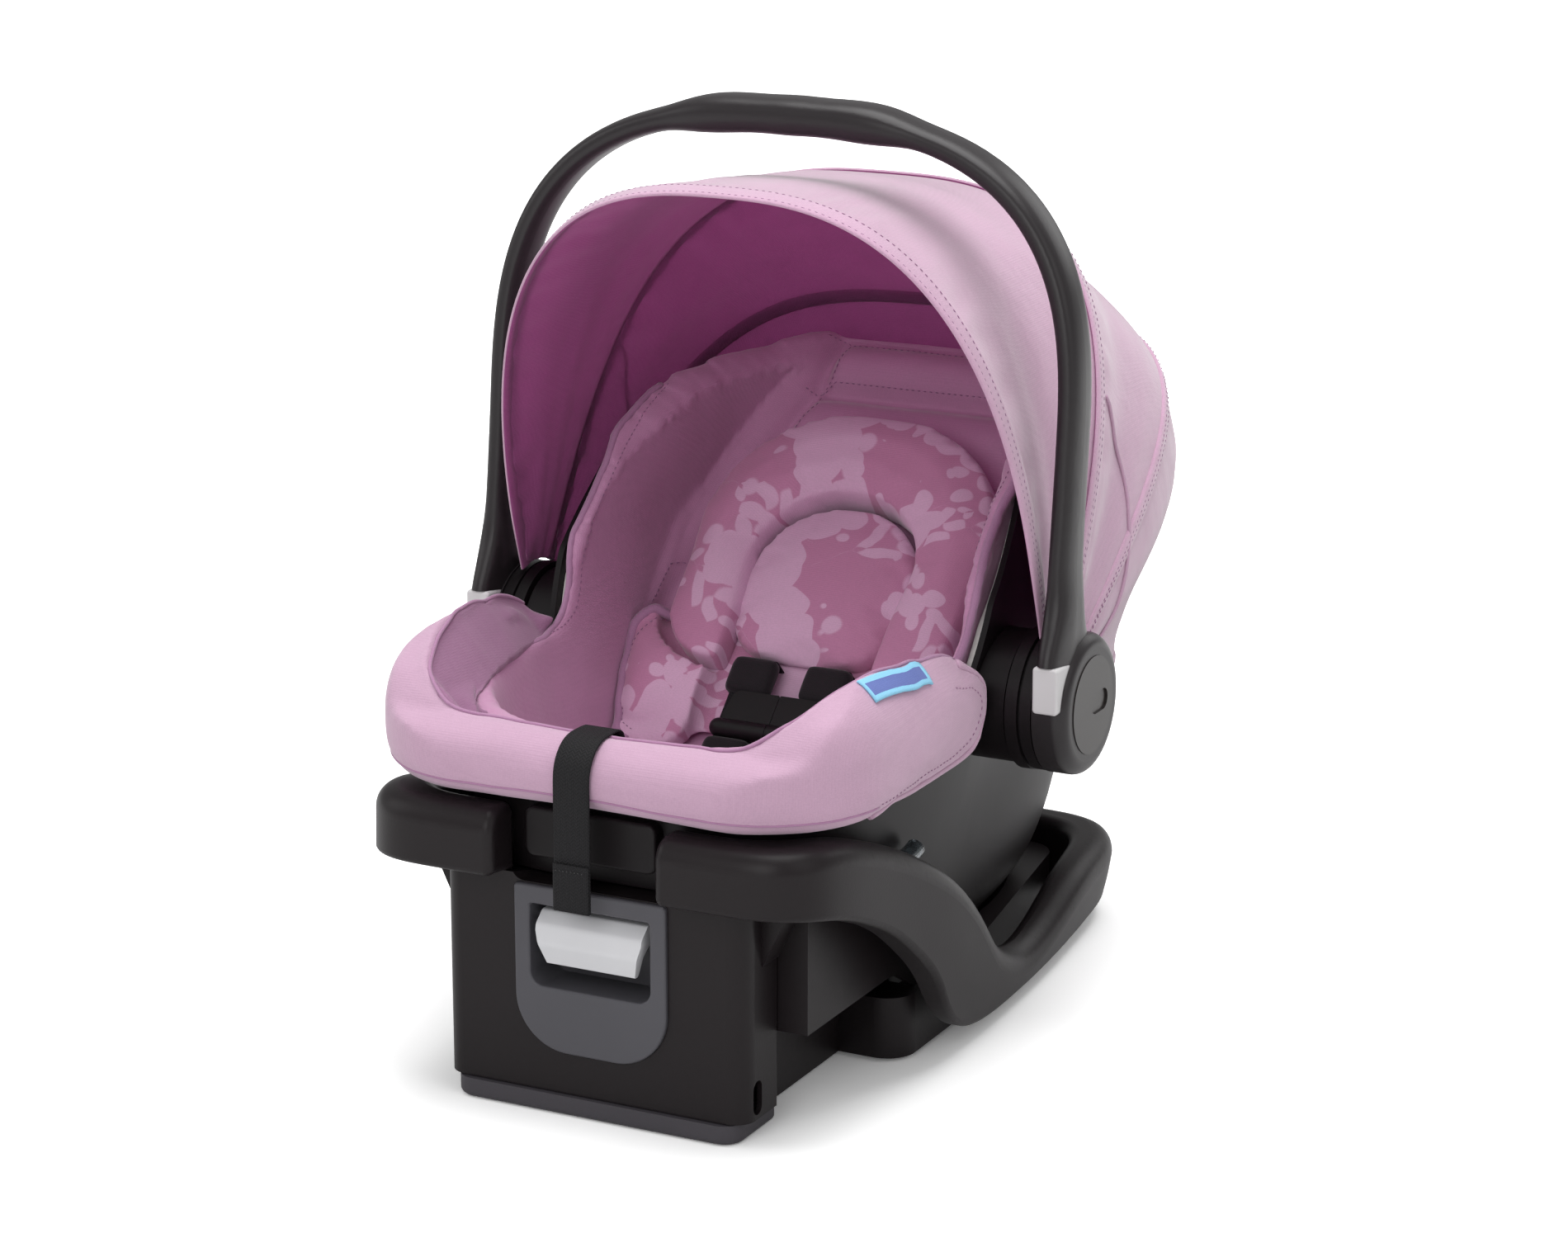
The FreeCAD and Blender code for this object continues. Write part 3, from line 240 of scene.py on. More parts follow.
@dataclass(frozen=True)
class WovenFabric(Finish):
    """Polyester twill or brushed knit: threads too fine to count, with a soft bloom at the edges."""

    colour: str
    thread_mm: float = 0.55
    thread: Scale = Scale.COARSE      # drawn twice too coarse, so that the cloth doesn't look like paint
    bloom: float = 0.35
    crumple: float = 0.35
    lining: str = ""
    print_colour: str = ""
    sprigs: tuple = (Sprig(12.0, 0.030, 0.019, 0.019), Sprig(15.5, 0.022, 0.013, 0.014))
    through: float = 0.0              # how much of the light passes through thin cloth

    def motifs(self, add: Adder, place: bpy.types.NodeSocket) -> Node:
        """Draws round blossoms, leafy sprigs and berries, flat on the slope of the back.

        Args:
            add: What adds nodes to the finish.
            place: The piece's own coordinates, in metres.

        Returns:
            A mask that is 1 on a motif.
        """
        turned = add("Mapping", {"Vector": place, "Rotation": (-math.pi / 4, 0, 0)})
        wander = add("TexNoise", {"Vector": turned, "Scale": 38.0, "Detail": 1.0}).outputs["Color"]
        shift = add("VectorMath", wander, (0.5, 0.5, 0.5), operation="SUBTRACT")
        shift = add("VectorMath", {0: shift, "Scale": 0.012}, operation="SCALE")
        flat = add("VectorMath", turned, shift)
        # round blossoms: broad clouds whose edges are scalloped by petals about 20 mm across
        cloud = add("TexNoise", {"Vector": flat, "Scale": 16.0, "Detail": 0.0}, noise_dimensions="2D")
        petal = add("TexVoronoi", {"Vector": flat, "Scale": 58.0, "Randomness": 0.9, "Smoothness": 0.06},
                    voronoi_dimensions="2D", feature="SMOOTH_F1").outputs["Distance"]
        bloom = add("Math", cloud, add("Math", petal, 0.34, operation="MULTIPLY"), operation="SUBTRACT")
        dots = add("TexVoronoi", {"Vector": flat, "Scale": 21.0, "Randomness": 0.9},
                   voronoi_dimensions="2D").outputs
        chosen = add("Math", add("SeparateColor", dots["Color"]).outputs[1], 0.6, operation="GREATER_THAN")
        berry = add("MapRange", {0: dots["Distance"], 1: 0.17, 2: 0.13})
        whole = add("MapRange", {0: bloom, 1: 0.36, 2: 0.375})
        masks = [sprig.draw(add, flat) for sprig in self.sprigs]
        for mask in (*masks, add("Math", berry, chosen, operation="MULTIPLY")):
            whole = add("Math", whole, mask, operation="MAXIMUM")
        return whole

    def mix(self, add: Adder) -> Node:
        """Mixes the dyed threads, with their lining, print, bloom and see-through as far as they have them.

        Args:
            add: What adds nodes to the finish.

        Returns:
            The shader.
        """
        place = add("TexCoord").outputs["Object"]
        base = linear(self.colour)
        if self.lining:
            inside = add("Attribute", attribute_name="lining").outputs["Fac"]
            share = add("MapRange", {0: inside, 1: 0.46, 2: 0.54})
            base = add("Mix", {0: share, 6: base, 7: linear(self.lining)}, data_type="RGBA").outputs[2]
        if self.print_colour:
            share = self.motifs(add, place)
            base = add("Mix", {0: share, 6: base, 7: linear(self.print_colour)}, data_type="RGBA").outputs[2]
        turns = math.tau / (self.thread_mm * self.thread.value * MM)
        threads = add("VectorMath", {0: place, "Scale": turns}, operation="SCALE")
        sines = add("SeparateXYZ", add("VectorMath", threads, operation="SINE")).outputs
        weave = add("Math", add("Math", sines[0], sines[1]), sines[2])
        flecks = add("TexNoise", {"Vector": place, "Scale": 900.0, "Detail": 2.0})
        broad = add("TexNoise", {"Vector": place, "Scale": 26.0, "Detail": 3.0})
        tone = 0.85
        for pattern, share in ((weave, 0.012), (flecks, 0.20), (broad, 0.10)):
            tone = add("Math", tone, add("Math", pattern, share, operation="MULTIPLY"))
        shade = add("HueSaturation", {"Value": tone, "Color": base})
        folds = add("Bump", {"Height": broad, "Strength": self.crumple, "Distance": 0.004})
        relief = add("Bump", {"Height": weave, "Strength": 0.16, "Distance": 0.0002, "Normal": folds})
        cloth = add("BsdfPrincipled", {"Base Color": shade, "Roughness": 0.88, "Normal": relief,
                                       "Sheen Weight": self.bloom, "Sheen Roughness": 0.45,
                                       "Specular IOR Level": 0.25})
        if self.through:
            glow = add("BsdfTranslucent", {"Color": shade, "Normal": relief})
            cloth = add("MixShader", self.through, cloth, glow)
        return cloth


@dataclass(frozen=True)
class WovenWebbing(Finish):
    """Polyester seat webbing: flat ribs across the band, 1.1 mm apart, between two smooth selvedges."""

    colour: str
    rib_mm: float = 1.1
    rib: Scale = Scale.COARSE         # drawn twice too coarse, because the ribs don't show at their own size
    zigzag: float = 0.0021
    warp: float = 0.0013

    def mix(self, add: Adder) -> Node:
        """Mixes zigzag ribs on a map whose U runs along the band in metres and whose V runs across it.

        Args:
            add: What adds nodes to the finish.

        Returns:
            The shader.
        """
        along, across, _ = add("SeparateXYZ", add("TexCoord").outputs["UV"]).outputs
        slanted = add("Math", along, add("Math", across, self.zigzag, operation="PINGPONG"))
        turns = math.tau / (self.rib_mm * self.rib.value * MM)
        ribs = add("Math", add("Math", slanted, turns, operation="MULTIPLY"), operation="SINE")
        warp = add("Math", add("Math", across, math.tau / self.warp, operation="MULTIPLY"), operation="SINE")
        height = add("Math", ribs, add("Math", warp, 0.5, operation="MULTIPLY"))
        # the ribs' colour follows their height: painted shade darkens the dips between ribs and painted
        # highlight lightens their crests
        share = add("MapRange", {0: height, 1: -1.5, 2: 1.5})
        dark, light = linear(self.colour, 0.55), linear(self.colour, 1.5)
        colour = add("Mix", {0: share, 6: dark, 7: light}, data_type="RGBA").outputs[2]
        relief = add("Bump", {"Height": height, "Strength": 0.5, "Distance": 0.0003})
        return add("BsdfPrincipled", {"Base Color": colour, "Roughness": 0.7, "Normal": relief,
                                      "Specular IOR Level": 0.25})


@dataclass(frozen=True)
class PlatedSteel(Finish):
    """Zinc-plated spring steel: a grey metal with faint drawing lines."""

    colour: str

    def mix(self, add: Adder) -> Node:
        """Mixes a metal whose shine varies in long lines.

        Args:
            add: What adds nodes to the finish.

        Returns:
            The shader.
        """
        long = add("Mapping", {"Vector": add("TexCoord").outputs["Object"], "Scale": (40, 900, 900)})
        lines = add("TexNoise", {"Vector": long, "Scale": 1.0, "Detail": 2.0})
        rough = add("MapRange", {0: lines, 3: 0.28, 4: 0.45})
        return add("BsdfPrincipled", {"Base Color": linear(self.colour), "Metallic": 1.0, "Roughness": rough})


@dataclass(frozen=True)
class BeadFoam(Finish):
    """Expanded polystyrene: white beads about 3 mm across, pressed together."""

    colour: str

    def mix(self, add: Adder) -> Node:
        """Mixes round beads with darker joints.

        Args:
            add: What adds nodes to the finish.

        Returns:
            The shader.
        """
        beads = add("TexVoronoi", {"Vector": add("TexCoord").outputs["Object"], "Scale": 330.0}, feature="F1")
        light, dark = linear(self.colour), linear(self.colour, 0.8)
        colour = add("Mix", {0: beads, 6: light, 7: dark}, data_type="RGBA").outputs[2]
        relief = add("Bump", {"Height": beads, "Strength": 0.4, "Distance": 0.001}, invert=True)
        return add("BsdfPrincipled", {"Base Color": colour, "Roughness": 0.8, "Normal": relief})


@dataclass(frozen=True)
class ClearPolycarbonate(Finish):
    """Clear moulded polycarbonate with a slight smoke tint."""

    colour: str

    def mix(self, add: Adder) -> Node:
        """Mixes a clear pane with a little haze in its gloss.

        Args:
            add: What adds nodes to the finish.

        Returns:
            The shader.
        """
        haze = add("TexNoise", {"Vector": add("TexCoord").outputs["Object"], "Scale": 60.0, "Detail": 2.0})
        rough = add("MapRange", {0: haze, 3: 0.05, 4: 0.12})
        return add("BsdfPrincipled", {"Base Color": linear(self.colour), "Roughness": rough, "IOR": 1.58,
                                      "Transmission Weight": 0.9})


@dataclass(frozen=True)
class StudioPaper(Finish):
    """Matt white paper under the seat, which keeps its shadow and fades to the surround's white."""

    lit: Colour = (0.72, 0.72, 0.72, 1)          # the paper as the lamps find it
    looked_at: Colour = (1.25, 1.25, 1.25, 1)    # paler to the eye, to stay white around a real shadow
    near: float = 0.5                            # where the glow starts to rise, in metres
    far: float = 2.4                             # where it is full

    def mix(self, add: Adder) -> Node:
        """Mixes the paper with a glow that rises away from the seat.

        Args:
            add: What adds nodes to the finish.

        Returns:
            The shader.
        """
        path = add("LightPath").outputs
        mirrored = add("Math", path["Is Glossy Ray"], path["Is Transmission Ray"], operation="MAXIMUM")
        seen = add("Math", path["Is Camera Ray"], mirrored, operation="MAXIMUM")
        away = add("VectorMath", add("TexCoord").outputs["Object"], operation="LENGTH").outputs["Value"]
        rise = add("MapRange", {0: away, 1: self.near, 2: self.far, 3: 0.06, 4: 1.0})
        paper = add("Mix", {0: path["Is Camera Ray"], 6: self.lit, 7: self.looked_at},
                    data_type="RGBA").outputs[2]
        glow = add("Emission", {"Strength": add("Math", seen, rise, operation="MULTIPLY")})
        return add("AddShader", add("BsdfDiffuse", {"Color": paper}), glow)


# ------------------------------------------------------------------ places and sizes
def hub_point(x: float, y: float, z: float) -> Vector:
    """Finds a place measured along Y from the handle's axis, in millimetres; the result is in metres."""
    return Vector((x, y - AXIS_Y, z)) * MM


def from_hub(point: Vector) -> tuple[float, float, float]:
    """Gives a point's distance from the middle plane, Y from the handle's axis and height, in mm."""
    return abs(point.x) / MM, point.y / MM + AXIS_Y, point.z / MM


def seat_point(x: float, along: float, off: float) -> Vector:
    """Finds a place on the slope of the back.

    Args:
        x: Sideways place in millimetres.
        along: Distance up the slope in millimetres.
        off: Height over the slope's surface in millimetres.

    Returns:
        The point in metres.
    """
    return Vector((x, SLOPE_Y + (along - off) * LEAN, SLOPE_Z + (along + off) * LEAN)) * MM


def up_slope(point: Vector) -> float:
    """Says how far up the slope of the back a point lies, in millimetres."""
    return ((point.y / MM - SLOPE_Y) + (point.z / MM - SLOPE_Z)) * LEAN


def read_rows(rows: Sequence[tuple], at: float, key: int = 0, extend: bool = False) -> tuple[float, ...]:
    """Reads a list of sizes on straight lines between its rows.

    Args:
        rows: The rows, in rising order of the key column.
        at: The place in the key column.
        key: The key column's number.
        extend: Whether the lines run on past the first and the last row.

    Returns:
        Every column's value at that place.
    """
    low, high = next(((a, b) for a, b in zip(rows, rows[1:]) if at <= b[key]), rows[-2:])
    share = (at - low[key]) / (high[key] - low[key])
    if not extend:
        share = max(0.0, min(1.0, share))
    return tuple(a + (b - a) * share for a, b in zip(low, high))


def bump_of(distance: float, width: float) -> float:
    """A smooth hill that is 1 at no distance and fades over a width."""
    return math.exp(-(distance / width) ** 2)


def ramp(value: float, low: float, high: float) -> float:
    """A smooth step from 0 at the low value to 1 at the high one."""
    share = max(0.0, min(1.0, (value - low) / (high - low)))
    return share * share * (3 - 2 * share)


# ------------------------------------------------------------------ modelling
def linked(name: str, mesh: Mesh) -> Piece:
    """Turns a bmesh into an object of the scene.

    Args:
        name: The object's name.
        mesh: The bmesh, which is freed.

    Returns:
        The new object, at the origin.
    """
    data = bpy.data.meshes.new(name)
    mesh.to_mesh(data)
    mesh.free()
    piece = bpy.data.objects.new(name, data)
    bpy.context.scene.collection.objects.link(piece)
    return piece


def finished(name: str, mesh: Mesh, materials: Sequence[Material], slot: str, body: str = "",
             parent: Piece | None = None) -> Piece:
    """Turns a bmesh into a shaded piece.

    Args:
        name: The piece's name.
        mesh: The bmesh, which is freed.
        materials: Its materials.
        slot: The record's material slot.
        body: The body it rides on, or nothing when another piece carries it or it is attached later or not at
            all.
        parent: The piece that carries it.

    Returns:
        The new object, at the origin.
    """
    piece = linked(name, mesh)
    dress(piece, materials, slot)
    if body:
        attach(piece, body)
    if parent:
        piece.parent = parent
    return piece


def dress(piece: Piece, materials: Sequence[Material], slot: str) -> None:
    """Gives a piece its materials and smooth faces.

    Args:
        piece: The piece.
        materials: Its materials.
        slot: The record's material slot; not used.
    """
    data = piece.data
    for material in materials:
        data.materials.append(material)
    data.polygons.foreach_set("use_smooth", [True] * len(data.polygons))
    log.info("%s: %d faces", piece.name, len(data.polygons))


def padded(piece: Piece, materials: Sequence[Material], slot: str, node: str, fill: float) -> None:
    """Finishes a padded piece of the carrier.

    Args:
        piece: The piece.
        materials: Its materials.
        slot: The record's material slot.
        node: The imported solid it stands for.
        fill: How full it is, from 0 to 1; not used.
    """
    piece.data.materials.clear()
    dress(piece, materials, slot)
    divide = piece.modifiers.new("divide", "SUBSURF")
    divide.levels = divide.render_levels = 1
    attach(piece, "carrier")
    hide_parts(node)


def stretched_grid(rule: Callable[[float, float], Vector], across: int, along: int) -> Mesh:
    """Lays a grid over a rule.

    Args:
        rule: Gives a point for two shares from 0 to 1.
        across: Cells along the first share.
        along: Cells along the second share.

    Returns:
        The bmesh, with the shares as its UV map.
    """
    mesh = bmesh.new()
    mesh.loops.layers.uv.new("UVMap")
    bmesh.ops.create_grid(mesh, x_segments=across, y_segments=along, size=0.5, calc_uvs=True)
    for vertex in mesh.verts:
        vertex.co = rule(vertex.co.x + 0.5, vertex.co.y + 0.5)
    return mesh


def ringed_tube(path: Sequence[Vector], ups: Sequence[Vector], section: Section,
                scale: Callable[[float], float] | None = None) -> Mesh:
    """Sweeps a closed section along a path, ring by ring, with bridge and cap.

    Args:
        path: The points that the section follows.
        ups: The direction of the section's second axis at each point.
        section: The section's corners, in metres.
        scale: The section's size for a share of the path.

    Returns:
        The closed bmesh, whose UV map holds the run along the path and the place across it, in metres.
    """
    mesh = bmesh.new()
    uv = mesh.loops.layers.uv.new("UVMap")
    last = len(path) - 1
    rings, place = [], {}
    run = 0.0
    for i, point in enumerate(path):
        ahead = (path[min(i + 1, last)] - path[max(i - 1, 0)]).normalized()
        side = ahead.cross(ups[i]).normalized()
        up = side.cross(ahead).normalized()
        size = scale(i / last) if scale else 1.0
        run += (point - path[i - 1]).length if i else 0.0
        ring = [mesh.verts.new(point + side * (a * size) + up * (b * size)) for a, b in section]
        place.update({vertex: (run, a) for vertex, (a, _) in zip(ring, section)})
        rings.append([mesh.edges.new(pair) for pair in zip(ring, ring[1:] + ring[:1])])
    for first, second in zip(rings, rings[1:]):
        bmesh.ops.bridge_loops(mesh, edges=first + second)
    for ring in (rings[0], rings[-1]):
        bmesh.ops.contextual_create(mesh, geom=ring)
    bmesh.ops.recalc_face_normals(mesh, faces=mesh.faces)
    for face in mesh.faces:
        for loop in face.loops:
            loop[uv].uv = place[loop.vert]
    return mesh


def round_section(radius: float, sides: int = 8, flat: float = 1.0) -> Section:
    """Lists the corners of a round or oval section.

    Args:
        radius: Half its width in metres.
        sides: How many corners it has.
        flat: Its height over its width.

    Returns:
        The corners.
    """
    turns = [math.tau * i / sides for i in range(sides)]
    return [(radius * math.cos(t), radius * flat * math.sin(t)) for t in turns]


def webbing_section(width: float, thick: float) -> Section:
    """Lists the corners of flat webbing: a band that thins at its selvedges.

    Args:
        width: Its width in metres.
        thick: Its thickness in metres.

    Returns:
        The corners.
    """
    half, deep, edge = width / 2, thick / 2, 0.0012
    top = [(-half, deep * 0.4), (-half + edge, deep), (-half / 3, deep * 0.96), (half / 3, deep * 0.96),
           (half - edge, deep), (half, deep * 0.4)]
    return top + [(a, -b) for a, b in reversed(top)]


def eased(points: Sequence[Vector]) -> list[Vector]:
    """Draws each point but the first and the last one halfway towards its neighbours."""
    inner = [points[i] * 0.5 + (points[i - 1] + points[i + 1]) * 0.25 for i in range(1, len(points) - 1)]
    return [points[0], *inner, points[-1]]


def smooth_path(points: Sequence[Vector], step: float, passes: int = 0) -> list[Vector]:
    """Divides a line evenly and eases its corners.

    Args:
        points: The corners.
        step: The distance between the new points, in metres.
        passes: How many times each point is drawn towards its neighbours.

    Returns:
        The new points.
    """
    lengths = [(b - a).length for a, b in zip(points, points[1:])]
    total = sum(lengths)
    count = max(2, round(total / step))
    made = []
    for i in range(count + 1):
        target = total * i / count
        k = 0
        while k < len(lengths) - 1 and target > lengths[k]:
            target -= lengths[k]
            k += 1
        share = min(1.0, target / lengths[k]) if lengths[k] else 0.0
        made.append(points[k].lerp(points[k + 1], share))
    for _ in range(passes):
        made = eased(made)
    return made


def laid_on(path: Iterable[Vector], tree: BVHTree, lift: float) -> tuple[list[Vector], list[Vector]]:
    """Lays a path on the nearest surface.

    Args:
        path: The points.
        tree: The surface's search tree.
        lift: How far over the surface they come to lie, in metres.

    Returns:
        The points and the surface's normals there.
    """
    points, normals = [], []
    for point in path:
        found, normal, _, _ = tree.find_nearest(point)
        if normals and normal.dot(normals[-1]) < -0.2:
            normal = normals[-1]
        points.append(found + normal * lift)
        normals.append(normal)
    return eased(eased(points)), normals


def stitches(path: Sequence[Vector], normals: Sequence[Vector], pitch: float, size: float) -> Mesh:
    """Sews a row of short thread ends along a path.

    Args:
        path: The points of the seam.
        normals: The cloth's normals there.
        pitch: The distance from one stitch to the next, in metres.
        size: The thread's thickness in metres.

    Returns:
        One bmesh with every stitch in it.
    """
    mesh = bmesh.new()
    run, due = 0.0, pitch / 2
    for start, stop, normal in zip(path, path[1:], normals[1:]):
        span = stop - start
        length = span.length
        while due <= run + length and length > 0:
            ahead = span.normalized()
            side = ahead.cross(normal).normalized()
            turn = Matrix((ahead, side, side.cross(ahead))).transposed().to_4x4()
            centre = Matrix.Translation(start + span * ((due - run) / length))
            shape = centre @ turn @ Matrix.Diagonal((pitch * 0.62, size, size * 0.8, 1.0))
            bmesh.ops.create_icosphere(mesh, subdivisions=1, radius=0.5, matrix=shape)
            due += pitch
        run += length
    return mesh


@dataclass
class Sewing:
    """Sews cords and rows of thread onto one piece, which then carries them."""

    piece: Piece
    slot: str
    thread: Material
    surface: BVHTree = field(init=False)

    def __post_init__(self) -> None:
        """Finds the piece's surface as it shows, modifiers included."""
        self.surface = BVHTree.FromObject(self.piece, bpy.context.evaluated_depsgraph_get())

    def cord(self, name: str, cloth: Material, corners: Sequence[Vector], passes: int, lift: float,
             section: Section) -> None:
        """Lays a cord or a binding along a line.

        Args:
            name: Its name.
            cloth: What it is made of.
            corners: The line that it follows.
            passes: How much the line's corners are eased.
            lift: How far over the surface its middle lies, in metres.
            section: Its section's corners.
        """
        path, normals = laid_on(smooth_path(corners, 0.004, passes), self.surface, lift)
        finished(name, ringed_tube(path, normals, section), (cloth,), self.slot, parent=self.piece)

    def row(self, name: str, corners: Sequence[Vector], passes: int, pitch: float,
            size: float = 0.0008) -> None:
        """Sews a row of stitches along a line.

        Args:
            name: Its name.
            corners: The line that it follows.
            passes: How much the line's corners are eased.
            pitch: The distance from one stitch to the next, in metres.
            size: The thread's thickness in metres.
        """
        path, normals = laid_on(smooth_path(corners, 0.002, passes), self.surface, 0.0003)
        finished(name, stitches(path, normals, pitch, size), (self.thread,), self.slot, parent=self.piece)


def reshape(piece: Piece, rule: Callable[[Vector, Vector], Vector], ease: int = 0) -> None:
    """Moves every point of a piece.

    Args:
        piece: The piece.
        rule: Gives the move for a point and its normal.
        ease: How often the corners are smoothed afterwards.
    """
    shape = bmesh.new()
    shape.from_mesh(piece.data)
    shape.normal_update()
    moves = [rule(v.co, v.normal) for v in shape.verts]
    for vertex, move in zip(shape.verts, moves):
        vertex.co += move
    give_back(shape, piece, ease)


def give_back(shape: Mesh, piece: Piece, ease: int) -> None:
    """Eases a bmesh and gives it back to its piece.

    Args:
        shape: The bmesh, which is freed.
        piece: The piece.
        ease: How often the corners are smoothed.
    """
    for _ in range(ease):
        bmesh.ops.smooth_vert(shape, verts=shape.verts, factor=0.5, use_axis_x=True, use_axis_y=True,
                              use_axis_z=True)
    shape.normal_update()
    shape.to_mesh(piece.data)
    shape.free()


def remeshed(name: str, node: str, voxel: float, tuck: float, ease: int) -> Piece:
    """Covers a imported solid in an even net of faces, a little inside it and eased.

    Args:
        name: The new object's name.
        node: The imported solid, of which a welded copy is covered.
        voxel: The net's mesh size in metres.
        tuck: How far the net is drawn inside the solid.
        ease: How often its corners are smoothed.

    Returns:
        The new object.
    """
    solid = bmesh.new()
    solid.from_mesh(frame["nodes"][node].data)
    bmesh.ops.remove_doubles(solid, verts=solid.verts, dist=2e-6)
    piece = linked(name, solid)
    net = piece.modifiers.new("net", "REMESH")
    net.mode = "VOXEL"
    net.voxel_size = voxel
    baked(piece)
    shape = bmesh.new()
    shape.from_mesh(piece.data)
    for vertex in shape.verts:
        vertex.co = vertex.co - vertex.normal * tuck
    give_back(shape, piece, ease)
    return piece


def baked(piece: Piece) -> Piece:
    """Applies a piece's modifiers to its mesh.

    Args:
        piece: The piece.

    Returns:
        The same piece.
    """
    seen = piece.evaluated_get(bpy.context.evaluated_depsgraph_get())
    data = bpy.data.meshes.new_from_object(seen)
    piece.modifiers.clear()
    old = piece.data
    piece.data = data
    bpy.data.meshes.remove(old)
    return piece


@dataclass
class Filling:
    """How one pad swells when air pressure stands for its stuffing."""

    piece: Piece
    pressure: float
    cap: float                        # the farthest that a point may move, in metres
    start: list[Vector] = field(default_factory=list)


def swell(fillings: Sequence[Filling], frames: int = 20) -> None:
    """Blows up every pad in one cloth run and applies the result.

    Args:
        fillings: The pads, each with its pressure and cap.
        frames: How many steps the run takes.
    """
    for filling in fillings:
        filling.start = [v.co.copy() for v in filling.piece.data.vertices]
        cloth = filling.piece.modifiers.new("cloth", "CLOTH")
        cloth.settings.use_pressure = True
        cloth.settings.uniform_pressure_force = filling.pressure
        cloth.settings.quality = 4
        cloth.settings.tension_stiffness = 12
        cloth.settings.compression_stiffness = 12
        cloth.settings.effector_weights.gravity = 0
        cloth.collision_settings.use_collision = False
        cloth.point_cache.frame_start = 1
        cloth.point_cache.frame_end = frames
    for step in range(1, frames + 1):
        bpy.context.scene.frame_set(step)
    for filling in fillings:
        baked(filling.piece)
        for vertex, home in zip(filling.piece.data.vertices, filling.start):
            move = vertex.co - home
            if move.length > filling.cap:
                vertex.co = home + move.normalized() * filling.cap
    bpy.context.scene.frame_set(1)


# ------------------------------------------------------------------ finishes
def made(finish: Finish) -> Material:
    """Stands for a finish in the palette, which makes it when the palette is made."""
    return field(default_factory=finish.build)


@dataclass(frozen=True)
class Palette:
    """Every finish on the seat, each made once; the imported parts' finishes have the record's slots' names."""

    base_plastic: Material = made(MouldedPlastic("polypropylene_charcoal_grained", "1b1618", 0.4, shine=0.22))
    foot_plastic: Material = made(MouldedPlastic("polypropylene_dark_grey_grained", "454247", 0.5))
    bezel_plastic: Material = made(MouldedPlastic("abs_slate_grey_satin", "4f4e53", 0.42, depth=0.12))
    lever_plastic: Material = made(MouldedPlastic("abs_light_grey_satin", "d2d2d5", 0.4, depth=0.08))
    shell_plastic: Material = made(MouldedPlastic("polypropylene_black_satin", "130f11", 0.42, depth=0.14,
                                                  shine=0.2))
    handle_plastic: Material = made(MouldedPlastic("nylon_black_satin", "231f21", 0.36, depth=0.12,
                                                   shine=0.34))
    disc_plastic: Material = made(MouldedPlastic("abs_warm_grey_polished", "2a2625", 0.3, depth=0.05,
                                                 coat=0.1))
    button_plastic: Material = made(MouldedPlastic("abs_pearl_grey_satin", "cbc9ca", 0.38, depth=0.06))
    harness_plastic: Material = made(MouldedPlastic("nylon_black_fine_grain", "171516", 0.4, depth=0.15))
    buckle_red: Material = made(MouldedPlastic("abs_red_polished", "a81f24", 0.3, depth=0.03, coat=0.2))
    foam: Material = made(BeadFoam("expanded_polystyrene_beads", "e6e5e0"))
    pad_fabric: Material = made(WovenFabric("brushed_knit_mauve", "bd8bac", 0.5, crumple=0.4))
    outer_fabric: Material = made(WovenFabric("polyester_twill_lilac_pink", "be9bb2", 0.6))
    two_tone: Material = made(WovenFabric("polyester_twill_with_knit_lining", "be9bb2", 0.6, lining="976d8b"))
    hood: Material = made(WovenFabric("polyester_canopy_twill_lilac_pink", "d8b3cb", 0.6, bloom=0.9,
                                      crumple=0.4, through=0.28))
    canopy_lining: Material = made(WovenFabric("polyester_plain_weave_plum", "b56aa0", 0.5, crumple=0.5,
                                               through=0.5))
    insert_fabric: Material = made(WovenFabric("brushed_knit_leaf_print", "c388a9", 0.5, crumple=0.25,
                                               print_colour="d9b2cd"))
    piping: Material = made(WovenFabric("bias_binding_mauve", "a87d9d", 0.5, crumple=0.1))
    thread: Material = made(WovenFabric("polyester_thread_mauve", "94698a", 0.25, crumple=0.0))
    dark_thread: Material = made(WovenFabric("polyester_thread_black", "151315", 0.25, crumple=0.0))
    webbing: Material = made(WovenWebbing("polyester_webbing_black", "151416"))
    cover: Material = made(WovenFabric("brushed_knit_black", "1d1a1d", 0.5, crumple=0.2, bloom=0.2))
    steel: Material = made(PlatedSteel("zinc_plated_spring_steel", "a9a9ab"))
    rubber: Material = made(MouldedPlastic("moulded_rubber_black", "1c1c1c", 0.8, depth=0.3))
    clear: Material = made(ClearPolycarbonate("polycarbonate_smoke_clear", "8f979c"))
    ball_orange: Material = made(MouldedPlastic("abs_orange_polished", "d1591c", 0.25, depth=0.0, coat=0.3))
    tag: Material = made(WovenFabric("woven_satin_tag_sky_blue", "8fcdea", 0.4, bloom=0.1, crumple=0.1))
    tag_bar: Material = made(WovenFabric("woven_satin_tag_slate_blue", "6675b2", 0.4, bloom=0.1, crumple=0.1))


